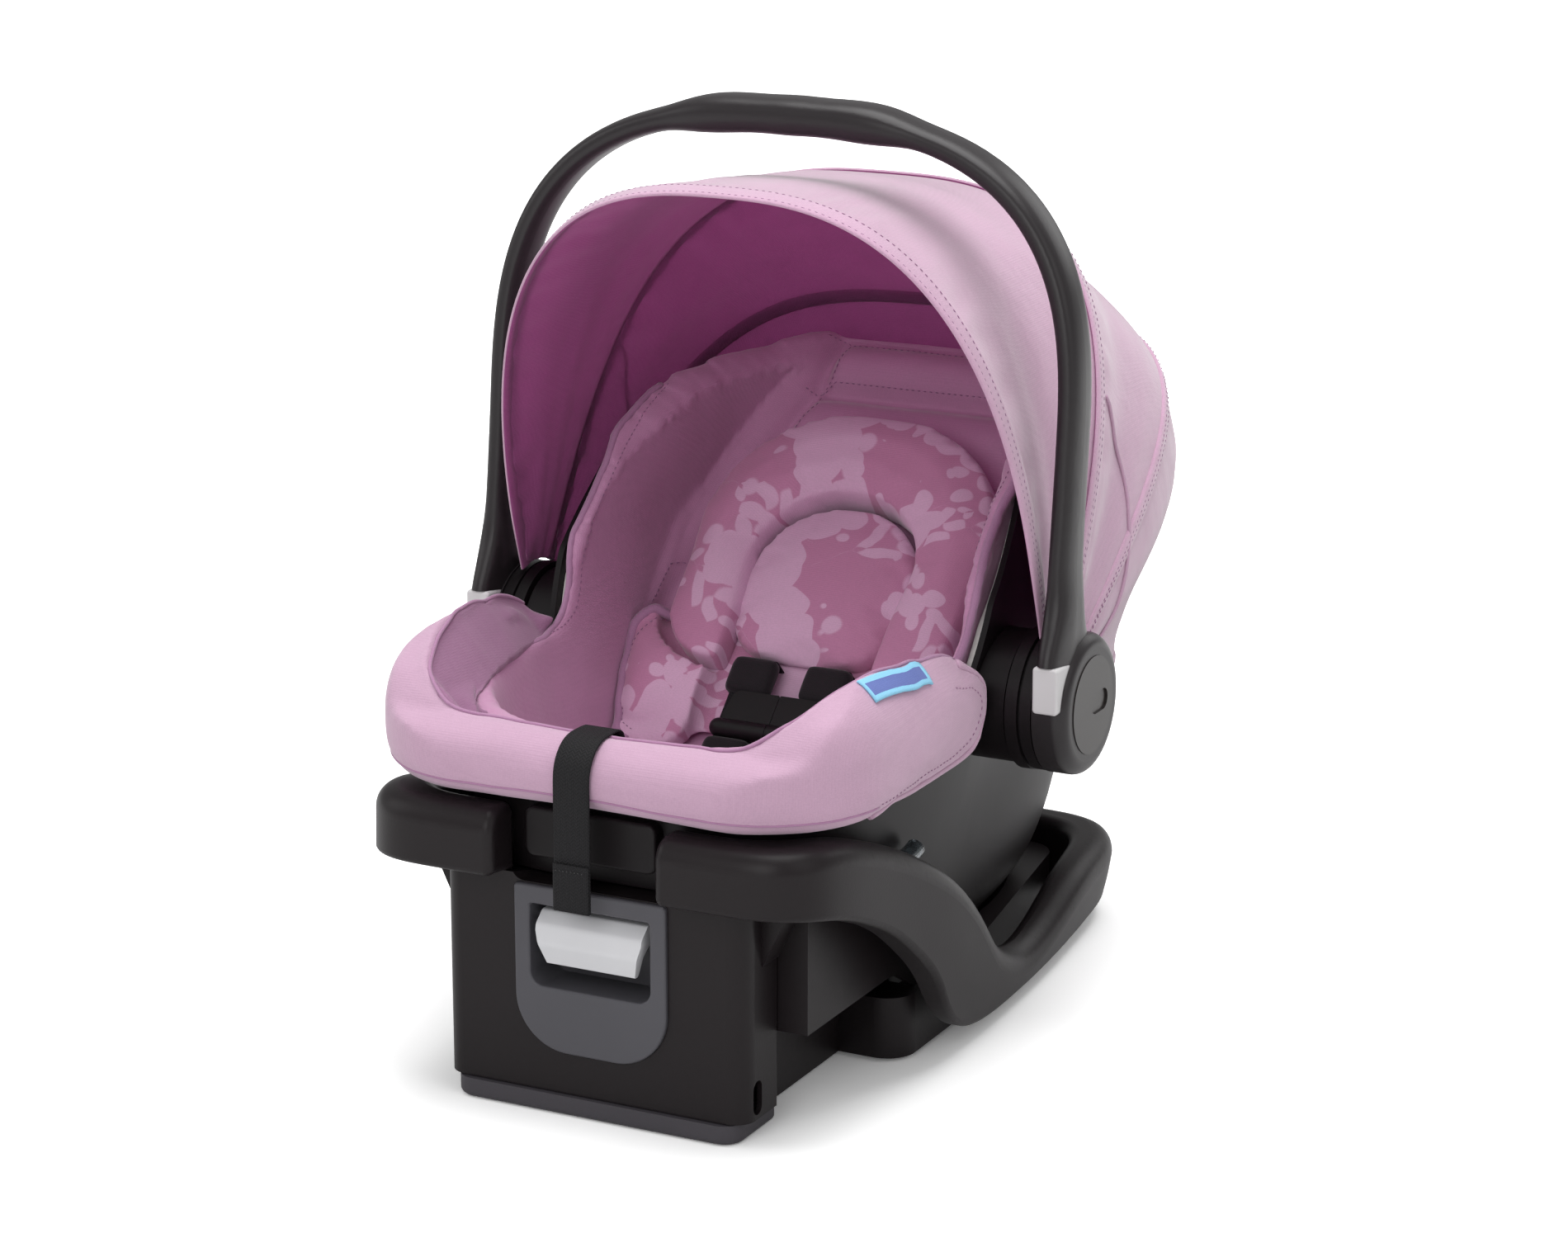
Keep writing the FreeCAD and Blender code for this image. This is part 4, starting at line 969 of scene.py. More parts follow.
# ------------------------------------------------------------------ stage
@dataclass
class Studio:
    """Camera, lamps, floor and white surround."""

    # the camera: its direction in degrees, its place in metres and its lens in millimetres
    azimuth: float = 27.0
    elevation: float = 15.4
    place: tuple[float, float, float] = (1.1893, -2.36135, 0.9793)
    lens: float = 95.04
    aim: tuple[float, float, float] = (0.0, 0.0, 0.3)
    # each soft box's name, place, width in metres and power in watts
    boxes: tuple = (("key", (0.3, -2.8, 1.5), 2.0, 26.0), ("left", (-2.2, -1.2, 1.4), 1.8, 12.0),
                    ("right", (2.5, -0.6, 1.7), 2.0, 9.5), ("top", (0.1, 0.2, 2.6), 2.4, 64.0),
                    ("back", (0.9, 2.4, 1.5), 1.6, 10.0))

    def build(self) -> None:
        """Sets up the whole studio."""
        self.hang_camera()
        self.light()
        self.lay_floor()
        self.surround()
        bpy.context.scene.view_settings.view_transform = "Standard"

    def stand(self, name: str, data: bpy.types.ID, place: Sequence[float], back: Vector) -> Piece:
        """Stands a camera or a lamp in the studio.

        Args:
            name: Its name.
            data: Its camera or light data.
            place: Where it stands.
            back: The direction that its back points in.

        Returns:
            The new object.
        """
        held = bpy.data.objects.new(name, data)
        held.location = place
        held.rotation_mode = "QUATERNION"
        held.rotation_quaternion = (-back).to_track_quat("-Z", "Y")
        bpy.context.scene.collection.objects.link(held)
        return held

    def hang_camera(self) -> None:
        """Makes the camera."""
        data = bpy.data.cameras.new("camera")
        data.sensor_width = 36.0
        data.lens = self.lens
        turn, rise = math.radians(self.azimuth), math.radians(self.elevation)
        back = Vector((math.sin(turn) * math.cos(rise), -math.cos(turn) * math.cos(rise), math.sin(rise)))
        bpy.context.scene.camera = self.stand("camera", data, self.place, back)

    def light(self) -> None:
        """Hangs large soft boxes: one in front, one on each side, one overhead and one behind."""
        for name, place, size, power in self.boxes:
            data = bpy.data.lights.new(name, "AREA")
            data.shape = "DISK"
            data.size = size
            data.energy = power
            self.stand(name, data, place, Vector(place) - Vector(self.aim))

    def lay_floor(self) -> None:
        """Lays a wide pale floor that keeps the object's shadow."""
        mesh = bmesh.new()
        bmesh.ops.create_circle(mesh, cap_ends=True, segments=96, radius=9.0)
        floor = linked("floor", mesh)
        floor.location = (0, 0, -0.0004)
        floor.data.materials.append(StudioPaper("pale_studio_floor").build())

    def surround(self) -> None:
        """Makes the world white to the camera and a soft grey light to the object."""
        world = bpy.data.worlds.new("studio")
        bpy.context.scene.world = world
        world.use_nodes = True
        world.node_tree.nodes.clear()
        add = partial(add_node, world.node_tree)
        path = add("LightPath").outputs
        seen = add("Math", path["Is Camera Ray"], path["Is Transmission Ray"], operation="MAXIMUM")
        strength = add("MapRange", {0: seen, 3: 0.40, 4: 1.0})
        add("OutputWorld", {"Surface": add("Background", {"Color": (1, 1, 1, 1), "Strength": strength})})


# ------------------------------------------------------------------ moulded parts
@dataclass
class MouldedParts:
    """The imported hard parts, which keep their shape and get their real finishes."""

    palette: Palette

    def build(self) -> None:
        """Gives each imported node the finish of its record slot."""
        for row in frame["record"]["subparts"]:
            for held in frame["nodes"][row["node"]].material_slots:
                held.material = getattr(self.palette, row["material_slot"])
            log.info("%s: %s", row["node"], row["material_slot"])


# ------------------------------------------------------------------ canopy
@dataclass
class Canopy:
    """Fabric hood: a skin over three spring strips in sewn sleeves, with a bound rear hem; sizes in mm."""

    palette: Palette
    foot: float = 47.5                # from the handle's axis to the skin's feet
    skin: float = 1.5                 # the skin's thickness
    sag: float = 20.0                 # how far the front stretch hangs in between its bows
    # angle back from upright, half width, apex radius and corner power of the skin's inner face
    stations: tuple = ((-16.0, 189.0, 336.0, 2.66), (27.0, 191.0, 338.4, 2.9), (41.0, 191.0, 338.4, 3.2),
                       (51.0, 193.4, 341.6, 3.8), (68.0, 193.4, 341.6, 3.8),
                       (76.0, 187.5, 339.5, 2.6), (84.0, 182.5, 336.2, 2.2), (92.0, 179.0, 320.5, 2.05),
                       (98.0, 178.0, 309.5, 2.15))
    bows: tuple = (-15.2, 27.8, 55.8)    # each spring strip's angle back from upright
    hem: float = 97.6                 # the bound rear edge's angle
    # each sleeve's body, degrees that it covers and half thickness
    sleeves: tuple = (("canopy_front", 1.5, 1.7), ("canopy_middle", 1.1, 1.7), ("carrier", 1.1, 2.7))
    sleeve_deep: float = 1.7
    reach: float = 0.338              # from the handle's axis to the sleeves, in metres
    stitch: float = 0.0046            # from one stitch to the next, in metres
    # the seam between a side panel and the top: along Y from the handle's axis, height
    side_seam: tuple = ((68, 236), (81, 247), (96, 262), (108, 284), (115, 308), (118, 336), (118, 364),
                        (112, 392), (105, 410))

    def build(self) -> None:
        """Makes the skin, the sleeves, the hem and the seams."""
        front, middle, rear = self.bows
        fore = self.skin_between("front", front, middle, 64, self.sag)
        self.stretch(fore, front, middle)
        centre = self.skin_between("middle", middle, rear, 48, self.sag * 0.35)
        self.stretch(centre, middle, rear)
        back = self.skin_between("rear", rear, self.hem, 64, 0.0)
        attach(back, "carrier")
        for word, angle, (body, wide, deep) in zip(("front", "middle", "rear"), self.bows, self.sleeves):
            self.sleeve("canopy_" + word + "_sleeve", angle, body, wide, deep)
        self.side_seams(centre, back)
        points, ups = self.line(self.hem, 0.0)
        finished("canopy_rear_hem", ringed_tube(points, ups, round_section(0.0042, 10, 0.55)),
                 (self.palette.hood,), "outer_fabric", "carrier")

    def stretch(self, piece: Piece, start: float, stop: float) -> None:
        """Bakes a piece's place into its mesh; it finds the skin's crown at one angle and at another but uses
        neither.

        Args:
            piece: The piece.
            start: The first angle.
            stop: The second angle.
        """
        tuple(self.place(0.5, start))
        tuple(self.place(0.5, stop))
        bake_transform(piece)

    def section(self, angle: float) -> tuple[float, ...]:
        """Measures the skin at an angle, eased over the stations.

        Args:
            angle: Degrees back from upright.

        Returns:
            Its half width, apex radius and corner power.
        """
        steps = (-3.0, -1.5, 0.0, 1.5, 3.0)
        rows = [read_rows(self.stations, angle + step, extend=True)[1:] for step in steps]
        return tuple(sum(values) / len(rows) for values in zip(*rows))

    def place(self, share: float, angle: float, lift: float = 0.0) -> Vector:
        """Finds a point of the canopy.

        Args:
            share: Where along the bow line, from 0 at the right foot to 1 at the left one.
            angle: Degrees back from upright.
            lift: How far outside the middle of the skin, in millimetres.

        Returns:
            The point in metres.
        """
        half, apex, power = self.section(angle)
        half, apex = half + self.skin / 2 + lift, apex + self.skin / 2 + lift
        c, s = math.cos(math.pi * share), math.sin(math.pi * share)
        x = half * math.copysign(abs(c) ** (2 / power), c)
        height = self.foot + (apex - self.foot) * abs(s) ** (2 / power)
        lean = math.radians(angle)
        return HUB + Vector((x, height * math.sin(lean), height * math.cos(lean))) * MM

    def even(self, share: float) -> float:
        """Spreads the grid evenly along the bow line, whose corners are tight near the feet."""
        return 0.5 - 0.5 * math.cos(math.pi * share) * (1 - 0.28 * math.sin(math.pi * share) ** 2)

    def skin_between(self, word: str, start: float, stop: float, rows: int, sag: float) -> Piece:
        """Makes one stretch of the skin between two angles.

        Args:
            word: The stretch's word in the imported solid's name.
            start: The angle that it starts at.
            stop: The angle that it ends at.
            rows: Cells between the two.
            sag: How far it hangs in between the two bows, in millimetres.

        Returns:
            The piece, which is solid, with its lining inside.
        """
        def rule(across: float, along: float) -> Vector:
            """Hangs the cloth between its bows.

            Args:
                across: The share of the bow line.
                along: The share of the way from the first angle to the second.

            Returns:
                The cloth's point.
            """
            angle = start + (stop - start) * along
            weight = math.sin(math.pi * across) ** 0.7
            between = max(0.0, math.sin(math.pi * along)) ** 0.85
            ripple = noise.noise(Vector((across * 9.0, angle * 0.11, 3.1))) * 2.4
            # small pleats that run out a little way behind the front bow
            pleat = noise.noise(Vector((across * 58.0, angle * 0.06, 8.3))) * 2.6 * bump_of(along - 0.1, 0.16)
            drop = sag * weight * between + (ripple * between + pleat) * min(1.0, sag / 6 + 0.35)
            return self.place(self.even(across), angle, -drop)

        mesh = stretched_grid(rule, 150, rows)
        bmesh.ops.recalc_face_normals(mesh, faces=mesh.faces)
        middle = mesh.faces[:][len(mesh.faces) // 2]
        if middle.normal.dot(middle.calc_center_median() - HUB) < 0:
            bmesh.ops.reverse_faces(mesh, faces=mesh.faces)
        area = sum(face.calc_area() for face in mesh.faces)
        piece = finished(f"canopy_{word}_skin", mesh, (self.palette.hood, self.palette.canopy_lining),
                         "outer_fabric")
        wall = piece.modifiers.new("cloth", "SOLIDIFY")
        wall.thickness = self.skin * MM
        wall.offset = 0.0
        wall.material_offset = 1
        baked(piece)
        bow = [self.place(i / 200, (start + stop) / 2) for i in range(201)]
        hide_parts("canopy_" + word)
        return piece

    def line(self, angle: float, lift: float, count: int = 150) -> tuple[list[Vector], list[Vector]]:
        """Follows the bow line at an angle.

        Args:
            angle: Degrees back from upright.
            lift: How far outside the middle of the skin, in millimetres.
            count: How many spans it has.

        Returns:
            The line's points and their outward directions.
        """
        shares = [self.even(i / count) for i in range(count + 1)]
        points = [self.place(s, angle, lift) for s in shares]
        outer = [self.place(s, angle, lift + 8) for s in shares]
        return points, [(b - a).normalized() for a, b in zip(points, outer)]

    def sleeve(self, name: str, angle: float, body: str, wide: float, deep: float) -> None:
        """Sews a flat sleeve around a spring strip, with a row of stitches on each side of it.

        Args:
            name: The sleeve's name.
            angle: The strip's middle angle.
            body: The body that it rides on.
            wide: How many degrees it covers.
            deep: Half its thickness in millimetres.
        """
        lift = 0.35 * (self.sleeve_deep - deep)
        points, ups = self.line(angle, lift)
        half = math.radians(wide / 2 + 0.55) * self.reach
        turns = [math.tau * (i + 0.5) / 14 for i in range(14)]
        section = [(half * math.copysign(abs(math.cos(t)) ** 0.5, math.cos(t)),
                    deep * MM * math.copysign(abs(math.sin(t)) ** 0.7, math.sin(t))) for t in turns]

        def narrowed(share: float) -> float:
            """Narrows the sleeve at its feet, where the bows come together when the canopy folds."""
            return 0.78 + 0.22 * ramp(min(share, 1 - share), 0.01, 0.1)

        mesh = ringed_tube(points, ups, section, narrowed)
        for face in mesh.faces:
            centre = face.calc_center_median()
            outward = ups[min(range(0, len(points), 5), key=lambda i: (points[i] - centre).length_squared)]
            face.material_index = int(face.normal.dot(outward) < -0.2)
        piece = finished(name, mesh, (self.palette.hood, self.palette.canopy_lining), "outer_fabric", body)
        for side, word in ((-1, "front"), (1, "rear")):
            seam, normals = self.line(angle + side * (wide / 2 + 0.1), lift + deep - 0.15, 260)
            finished(f"{name}_stitches_{word}", stitches(seam, normals, self.stitch, 0.0008),
                     (self.palette.thread,), "outer_fabric", parent=piece)

    def side_seams(self, middle: Piece, rear: Piece) -> None:
        """Sews the curved seam that joins each side panel to the top.

        Args:
            middle: The skin between the middle and the rear bow.
            rear: The skin behind the rear bow.
        """
        both = bmesh.new()
        for skin in (middle, rear):
            both.from_mesh(skin.data)
        surface = BVHTree.FromBMesh(both)
        both.free()
        for side in reversed(Side):
            corners = [hub_point(side.value * 200, y, z) for y, z in self.side_seam]
            path, normals = laid_on(smooth_path(corners, 0.004, 3), surface, 0.0008)
            cord = finished("canopy_side_seam_" + side.word,
                            ringed_tube(path, normals, round_section(0.0015, 8, 0.9)),
                            (self.palette.outer_fabric,), "outer_fabric")
            self.stretch(cord, self.bows[1], self.bows[2])


# ------------------------------------------------------------------ cushions
@dataclass
class SeatPad:
    """Fabric pad in the shell: soft edge, two sewn channels over the head and bound cut-outs at the hubs."""

    palette: Palette
    voxel: float = 0.0042             # the mesh size of its net, in metres
    # how far up the slope each sewn channel lies
    channels: tuple = (211.0, 261.0)
    # the shell's rim: along Y from the handle's axis, height
    rim: tuple = ((-40, 272), (-20, 294), (20, 333), (60, 359), (100, 374), (140, 379), (180, 382),
                  (260, 383))
    # the bolsters' inner seam: sideways, up the slope
    bolster: tuple = ((140, -60), (136, -47), (128, 0), (123, 54), (108, 117), (94, 167), (78, 211),
                      (72, 262))
    # the bound edge round a hub: along Y from the handle's axis, height
    cut_out: tuple = ((-96, 250), (-60, 251), (-44, 258), (-34, 274), (-27, 296), (-10, 324), (22, 352),
                      (58, 377), (90, 390))

    def build(self) -> None:
        """Makes the pad, its bindings and its stitches."""
        pad = remeshed("seat_pad", "seat_liner", self.voxel, 0.0006, 3)
        reshape(pad, self.roll_brim, 7)
        reshape(pad, self.shape)
        padded(pad, (self.palette.pad_fabric,), "pad_fabric", "seat_liner", 0.5)
        sewing = Sewing(pad, "pad_fabric", self.palette.thread)
        for side in Side:
            edge = [hub_point(side.value * 150, y, z) for y, z in self.cut_out]
            sewing.cord("seat_pad_binding_" + side.word, self.palette.piping, edge, 5, 0.0004,
                        round_section(0.0031, 8, 0.8))
            inner = [hub_point(side.value * 138, y + 7, z - 3) for y, z in self.cut_out]
            sewing.row("seat_pad_stitches_" + side.word, inner, 5, 0.0044)
            seam = [seat_point(side.value * (x - 4), along, 14) for x, along in self.bolster[2:]]
            sewing.row("seat_pad_bolster_stitches_" + side.word, seam, 5, 0.0046, 0.0010)
        for number, channel in enumerate(self.channels, 1):
            line = [seat_point(x, channel, 8) for x in (-82, -40, 0, 40, 82)]
            sewing.row(f"seat_pad_channel_stitches_{number}", line, 5, 0.0046, 0.0010)

    def roll_brim(self, point: Vector, normal: Vector) -> Vector:
        """Rolls the cloth over the pad's upper edge and over the shell's rim.

        Args:
            point: A point of the pad.
            normal: Its normal.

        Returns:
            How far it moves.
        """
        outward = abs(normal.x) + max(0.0, normal.dot(Vector((0, LEAN, LEAN))))
        x, y, z = from_hub(point)
        _, height = read_rows(self.rim, y)
        over = ramp(z - height, 1.5, 9) * ramp(y, 0, 50)
        away = Vector((point.x / MM / 150, max(0.0, (y - 150) / 90), 0))
        lip = away.normalized() * (12.0 * over) if away.length > 0.3 else Vector()
        brim = 5.0 * ramp(up_slope(point), 80, 140) * ramp(outward, 0.2, 1.0)
        # the pad's front corners fill the angle behind the apron
        brim += 6.0 * ramp(-y, 180, 205) * ramp(x, 40, 75) * (1 - ramp(abs(normal.z), 0.5, 0.9))
        return (normal * brim + lip) * MM

    def shape(self, point: Vector, normal: Vector) -> Vector:
        """Presses the sewn channels and seams in and lets the cloth between them puff.

        Args:
            point: A point of the pad.
            normal: Its normal.

        Returns:
            How far it moves.
        """
        x, along = abs(point.x) / MM, up_slope(point)
        seam = read_rows(self.bolster, along, key=1)[0]
        move = 0.0
        if normal.dot(SLOPE_FACE) > 0.3:
            inside = (1 - ramp(x, seam - 12, seam)) * ramp(along, 120, 140)
            low, high = self.channels
            # each hill or dip: its height, how far from its middle the point is and its width
            for lift, distance, width in ((-10.0, along - low, 6.5), (-10.0, along - high, 6.5),
                                          (8.0, along - (low + high) / 2, 18), (7.0, along - low + 25, 17),
                                          (7.0, along - high - 16, 11)):
                move += lift * bump_of(distance, width) * inside
            edge = ramp(along, -20, 10)
            move += (4.0 * bump_of(x - seam - 17, 13) - 7.5 * bump_of(x - seam, 5.5)) * edge
        wave = noise.noise(point * 17.0) * 1.5 + noise.noise(point * 41.0) * 0.5
        return normal * ((move + wave * 0.9) * MM)


@dataclass
class FrontRoll:
    """Padded apron over the shell's front edge: a flap beside each hub, a knit lining inside the crest."""

    palette: Palette
    voxel: float = 0.0042             # the mesh size of its net, in metres
    front: float = -254.0             # the crest's front, along Y from the handle's axis
    # the crest of one flap, from its front back to the hub: sideways, along Y from the handle's axis, height
    crest: tuple = ((104, -259, 256), (127, -240, 267), (139, -210, 279), (149, -170, 286), (155, -128, 284),
                    (158, -96, 277), (158, -70, 266), (157, -54, 248))
    # the flap's bound edge and the stitches inside it: along Y from the handle's axis, height
    edge: tuple = ((-84, 272), (-62, 262), (-50, 250), (-49, 236), (-56, 222), (-72, 208), (-98, 201),
                   (-150, 199), (-205, 199))
    sewn: tuple = ((-100, 262), (-78, 256), (-64, 246), (-61, 236), (-67, 226), (-80, 216), (-102, 210),
                   (-150, 208), (-205, 208))
    # half of the hem line low along the front: sideways, along Y from the handle's axis
    hem: tuple = ((176, -205), (172, -232), (150, -266), (110, -288), (40, -292))

    def begin(self) -> Filling:
        """Makes the net that the filling blows up."""
        return Filling(remeshed("front_apron", "front_roll", self.voxel, 0.0022, 3), 3.0, 0.0058)

    def finish(self, piece: Piece) -> None:
        """Adds folds, the lining, the welt, the bindings, the hem and the tag.

        Args:
            piece: The swollen apron.
        """
        reshape(piece, self.folds)
        lining = piece.data.attributes.new("lining", "FLOAT", "POINT")
        lining.data.foreach_set("value", [self.inner_share(v.co) for v in piece.data.vertices])
        padded(piece, (self.palette.two_tone,), "outer_fabric", "front_roll", 0.6)
        sewing = Sewing(piece, "outer_fabric", self.palette.thread)
        welt = self.across_front(self.crest[-2::-1], (80, 40, 0, -40, -80))
        sewing.cord("front_apron_welt", self.palette.piping, welt, 5, 0.0005, round_section(0.0013))
        for side in Side:
            edge = [hub_point(side.value * 166, y, z) for y, z in self.edge]
            sewing.cord("front_apron_binding_" + side.word, self.palette.outer_fabric, edge, 4, 0.0002,
                        round_section(0.0030, 8, 0.7))
            inner = [hub_point(side.value * 178, y, z) for y, z in self.sewn]
            sewing.row("front_apron_stitches_" + side.word, inner, 4, 0.0046)
        hem = self.across_front([(x, y, 206) for x, y in self.hem])
        sewing.cord("front_apron_hem", self.palette.piping, hem, 6, 0.0, round_section(0.0009, 6))
        self.sew_tag(piece, sewing.surface)

    def across_front(self, half: Sequence[tuple], middle: Sequence[float] = ()) -> list[Vector]:
        """Carries a line of the right half across the front and mirrors it on the left.

        Args:
            half: The right half's points, from its rear end to the front.
            middle: Sideways places of the points between the halves, on the front's crest.

        Returns:
            The whole line's points.
        """
        right = [hub_point(*point) for point in half]
        left = [Vector((-p.x, p.y, p.z)) for p in reversed(right)]
        return right + [hub_point(x, self.front + 1, 252) for x in middle] + left

    def folds(self, point: Vector, normal: Vector) -> Vector:
        """Draws the cloth into soft folds, slopes it inside the crest and gathers it behind the front.

        Args:
            point: A point of the apron.
            normal: Its normal.

        Returns:
            How far it moves.
        """
        wave = noise.noise(Vector((point.x * 11, point.y * 11, point.z * 20))) * 1.3
        fine = noise.noise(Vector((point.x * 34, point.y * 34, point.z * 60))) * 0.35
        x, y, z = from_hub(point)
        beside, _, height = read_rows(self.crest, y, key=1)
        flap = ramp(y, -252, -232) * ramp(-y, 56, 76) * ramp(z, 244, 250)
        # inside the crest the cloth falls to the pad in one slope
        fall, out = 0.63, 0.78
        over = max(0.0, (x - beside) * -out + (z - height + 2) * fall) if x < beside + 4 else 0.0
        pull = Vector((math.copysign(out, point.x), 0, -fall)) * (min(over, 12.0) * flap)
        edge = 3.5 * bump_of(x - beside - 1, 4.5) * ramp(normal.z, 0.2, 0.6) * flap
        inner = ramp(y, self.front - 2, self.front + 6) * (1 - ramp(y, -234, -222)) * (1 - ramp(x, 92, 108))
        gather = noise.noise(Vector((point.x * 90, point.y * 18, 4.2))) * 3.4 * inner
        return normal * ((wave + fine + gather) * MM) + (pull + Vector((0, 0, edge - 2.5 * inner))) * MM

    def inner_share(self, point: Vector) -> float:
        """Says how far a point belongs to the lining inside the crest: 0 outside, 1 on the lining.

        Args:
            point: A point of the apron.

        Returns:
            The share.
        """
        x, y, z = from_hub(point)
        beside = read_rows(self.crest, y, key=1)[0]
        return 0.5 + max(-0.5, min(0.5, (beside - x) / 9, (y - self.front) / 9, (z - 226) / 9))

    def sew_tag(self, piece: Piece, surface: BVHTree) -> None:
        """Sews a small plain folded tag to the right flap's top edge.

        Args:
            piece: The apron, which carries the tag.
            surface: Its search tree.
        """
        def rule(across: float, along: float) -> Vector:
            """Lays the tag down the flap's outer face.

            Args:
                across: The share of its width.
                along: The share of its height.

            Returns:
                The tag's point.
            """
            y = -196 + 70 * across
            beside, _, height = read_rows(self.crest, y, key=1)
            top = surface.find_nearest(hub_point(beside, y, height + 3))[0]
            down = along * 0.014 - 0.002
            beyond = top + Vector((0.004 + max(0.0, down) * 0.8, 0, -down))
            found, outward, _, _ = surface.find_nearest(beyond)
            return found + outward * (0.0016 + 0.001 * math.sin(math.pi * across) * along)

        mesh = stretched_grid(rule, 30, 10)
        uv = mesh.loops.layers.uv.active
        for face in mesh.faces:
            u, v = (sum(loop[uv].uv[k] for loop in face.loops) / len(face.loops) for k in (0, 1))
            face.material_index = int(0.05 < u < 0.95 and 0.3 < v < 0.8)
        tag = finished("front_apron_tag", mesh, (self.palette.tag, self.palette.tag_bar), "outer_fabric",
                       parent=piece)
        wall = tag.modifiers.new("cloth", "SOLIDIFY")
        wall.thickness = 0.0012
        wall.offset = 1.0


@dataclass
class BodyCushions:
    """Horseshoe head cushion, its middle pad and the insert with hip lobes, in leaf-printed knit."""

    palette: Palette
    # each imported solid, its piece, its net's size, tuck and easing, its filling's pressure, cap and fullness
    cushions: tuple = (("head_ring", "head_ring_cushion", 0.0046, 0.0014, 4, 5.0, 0.008, 0.8),
                       ("head_cushion", "head_middle_cushion", 0.0044, 0.0008, 4, 5.0, 0.0085, 0.7),
                       ("body_insert", "body_insert_cushion", 0.0042, 0.0012, 3, 3.2, 0.0055, 0.6))
    # a hip lobe's outline and the stitches inside it: sideways, up the slope
    outline: tuple = ((64, 14), (80, 21), (98, 22), (118, 15), (133, -2), (139, -28), (137, -58), (124, -82),
                      (102, -93))
    sewn: tuple = ((68, 6), (82, 12), (98, 13), (113, 7), (125, -7), (130, -28), (128, -56), (117, -76),
                   (99, -85))

    def begin(self) -> list[Filling]:
        """Makes the nets that the filling blows up."""
        return [Filling(remeshed(name, node, voxel, tuck, ease), pressure, cap)
                for node, name, voxel, tuck, ease, pressure, cap, _ in self.cushions]

    def finish(self, pieces: Sequence[Piece]) -> None:
        """Dresses the three cushions and pipes the hip lobes.

        Args:
            pieces: The swollen cushions, in the order they were begun.
        """
        for piece, (node, *_, fill) in zip(pieces, self.cushions):
            reshape(piece, self.plump if node == "body_insert" else self.crumple)
            padded(piece, (self.palette.insert_fabric,), "insert_fabric", node, fill)
        sewing = Sewing(pieces[-1], "insert_fabric", self.palette.thread)
        for side in Side:
            edge = [seat_point(side.value * x, along, 26) for x, along in self.outline]
            sewing.cord("body_insert_piping_" + side.word, self.palette.piping, edge, 4, 0.0004,
                        round_section(0.0040, 8, 0.9))
            inner = [seat_point(side.value * x, along, 34) for x, along in self.sewn]
            sewing.row("body_insert_stitches_" + side.word, inner, 4, 0.0042)

    def crumple(self, point: Vector, normal: Vector) -> Vector:
        """Gives a cushion's point the knit's small unevenness."""
        return normal * (noise.noise(point * 30.0) * 0.8 * MM)

    def plump(self, point: Vector, normal: Vector) -> Vector:
        """Rounds the hip lobes and draws the cloth in along their stitches.

        Args:
            point: A point of the insert.
            normal: Its normal.

        Returns:
            How far it moves.
        """
        from_middle = math.hypot((abs(point.x) / MM - 99) / 36, (up_slope(point) + 33) / 54)
        lobe = ramp(normal.dot(SLOPE_FACE), 0.1, 0.6)
        puff = 6.5 * bump_of(from_middle, 0.62) - 2.2 * bump_of(from_middle - 0.86, 0.08)
        return self.crumple(point, normal) + normal * (puff * lobe * MM)


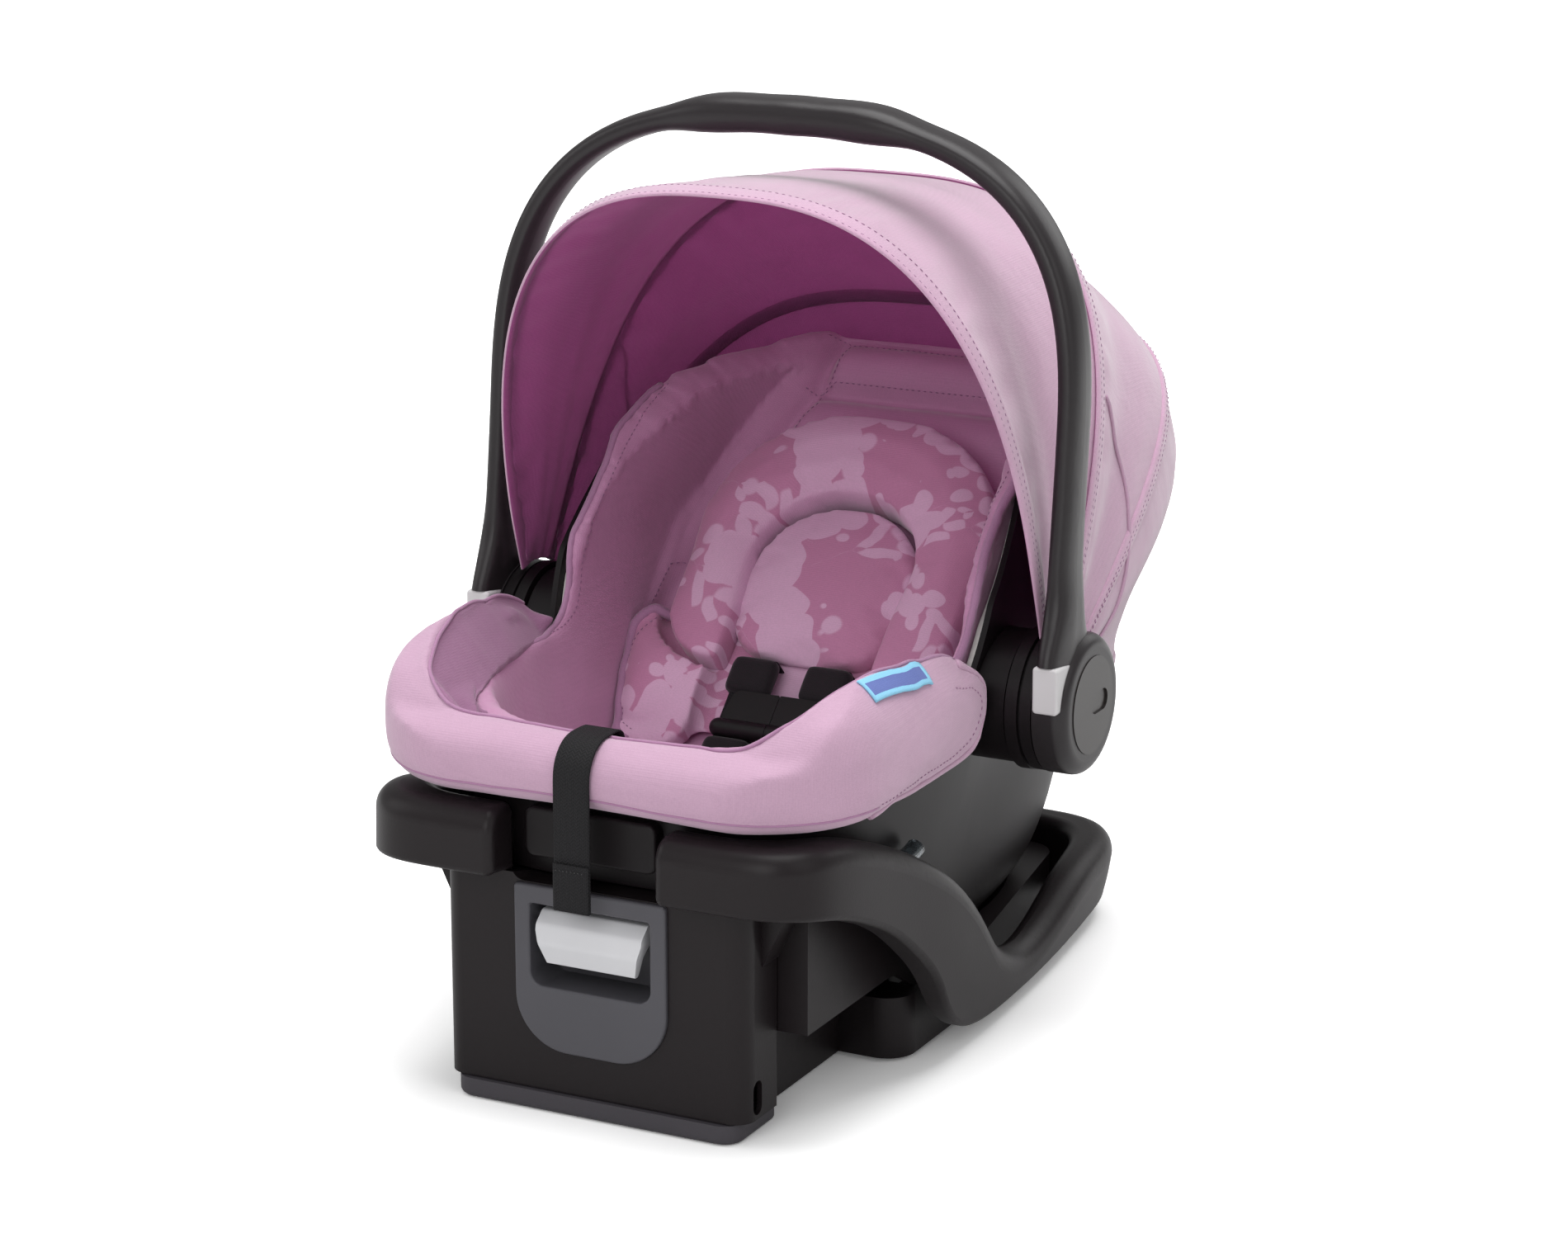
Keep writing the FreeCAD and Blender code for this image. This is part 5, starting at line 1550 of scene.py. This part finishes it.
# ------------------------------------------------------------------ harness
@dataclass
class Harness:
    """Black webbing, padded covers and the adjusting strap; its sizes are in millimetres."""

    palette: Palette
    strap_x: float = 27.0             # from the middle plane to a shoulder strap's middle
    width: float = 25.0
    crotch_width: float = 30.0
    thick: float = 1.6
    roll_front: float = -283.0        # the roll's front face, its top and its rounded edge
    roll_top: float = 248.0
    roll_round: float = 22.0

    def build(self) -> None:
        """Makes the straps and the covers."""
        for side in reversed(Side):
            self.shoulder(side)
            cover = remeshed("shoulder_pad_" + side.word, "shoulder_cover_" + side.word, 0.0024, -0.0006, 7)
            padded(cover, (self.palette.cover,), "webbing", "shoulder_cover_" + side.word, 0.5)
        # the short strap between the legs
        short = [hub_point(0, -102.5, z) for z in (148.6, 152, 156, 160.8)]
        self.strap("crotch_webbing", short, 0, self.crotch_width, "crotch_strap", "seat_pad", "laid")
        self.adjuster()

    def strap(self, name: str, corners: Sequence[Vector], passes: int, width: float, node: str, under: str,
              held: str) -> Piece:
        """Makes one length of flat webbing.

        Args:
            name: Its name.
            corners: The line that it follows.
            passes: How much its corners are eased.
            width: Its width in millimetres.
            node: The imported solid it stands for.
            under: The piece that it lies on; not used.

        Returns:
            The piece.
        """
        path = smooth_path(corners, 0.003, passes)
        last = len(path) - 1
        ups = [Vector((1, 0, 0)).cross((path[min(i + 1, last)] - path[max(i - 1, 0)]).normalized())
               for i in range(last + 1)]
        mesh = ringed_tube(path, ups, webbing_section(width * MM, self.thick * MM))
        piece = finished(name, mesh, (self.palette.webbing,), "webbing", "carrier")
        length = sum((b - a).length for a, b in zip(path, path[1:]))
        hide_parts(node)
        return piece

    def shoulder(self, side: Side) -> None:
        """Makes a shoulder strap from its slot to the buckle.

        Args:
            side: The side it lies on.
        """
        x = side.value * self.strap_x
        line = [seat_point(x, -19, 12.5), seat_point(x, -19, 30), seat_point(x, -98, 30),
                hub_point(x, -68, 162), hub_point(x, -84, 162)]
        self.strap("shoulder_webbing_" + side.word, line, 1, self.width, "shoulder_strap_" + side.word,
                   "body_insert_cushion", "laid")

    def adjuster(self) -> None:
        """Makes the adjusting strap over the roll, its folded end and the row that sews it."""
        outward = Vector((0, -1, 0))
        reach = self.roll_round + 1.1
        front, low, fold = self.roll_front - 1.1, 143.0, 173.0
        line = [(-239.5, 241), (-240.5, 247), (-244, 249.1), (-252, 249.1)]
        for turn in (math.radians(90 * i / 8) for i in range(9)):
            line.append((self.roll_front + self.roll_round - reach * math.sin(turn),
                         self.roll_top - self.roll_round + reach * math.cos(turn)))
        line += [(front, 200), (front, 172), (front + 0.1, low)]
        corners = [hub_point(0, y, z) for y, z in line]
        strap = self.strap("adjusting_webbing", corners, 2, self.width, "roll_strap", "front_apron", "hung")
        path = smooth_path([hub_point(0, front - 1.65, z) for z in (low, low + 8, fold - 8, fold)], 0.003)
        finished("adjusting_webbing_fold",
                 ringed_tube(path, [outward] * len(path), webbing_section(0.0249, self.thick * MM)),
                 (self.palette.webbing,), "webbing", parent=strap)
        row = smooth_path([hub_point(x, front - 2.6, fold - 4) for x in (-11, 0, 11)], 0.001)
        finished("adjusting_webbing_stitches", stitches(row, [outward] * len(row), 0.0026, 0.0008),
                 (self.palette.dark_thread,), "webbing", parent=strap)


# ------------------------------------------------------------------ the whole seat
def build_seat() -> None:
    """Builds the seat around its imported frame, part by part."""
    palette = Palette()
    Studio().build()
    MouldedParts(palette).build()
    Canopy(palette).build()
    SeatPad(palette).build()
    roll, cushions = FrontRoll(palette), BodyCushions(palette)
    fillings = [roll.begin(), *cushions.begin()]
    swell(fillings)
    apron, *rest = (filling.piece for filling in fillings)
    roll.finish(apron)
    cushions.finish(rest)
    Harness(palette).build()


def main() -> None:
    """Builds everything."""
    logging.basicConfig(level=logging.INFO, format="%(message)s")
    build_seat()


if __name__ == "__main__":
    main()
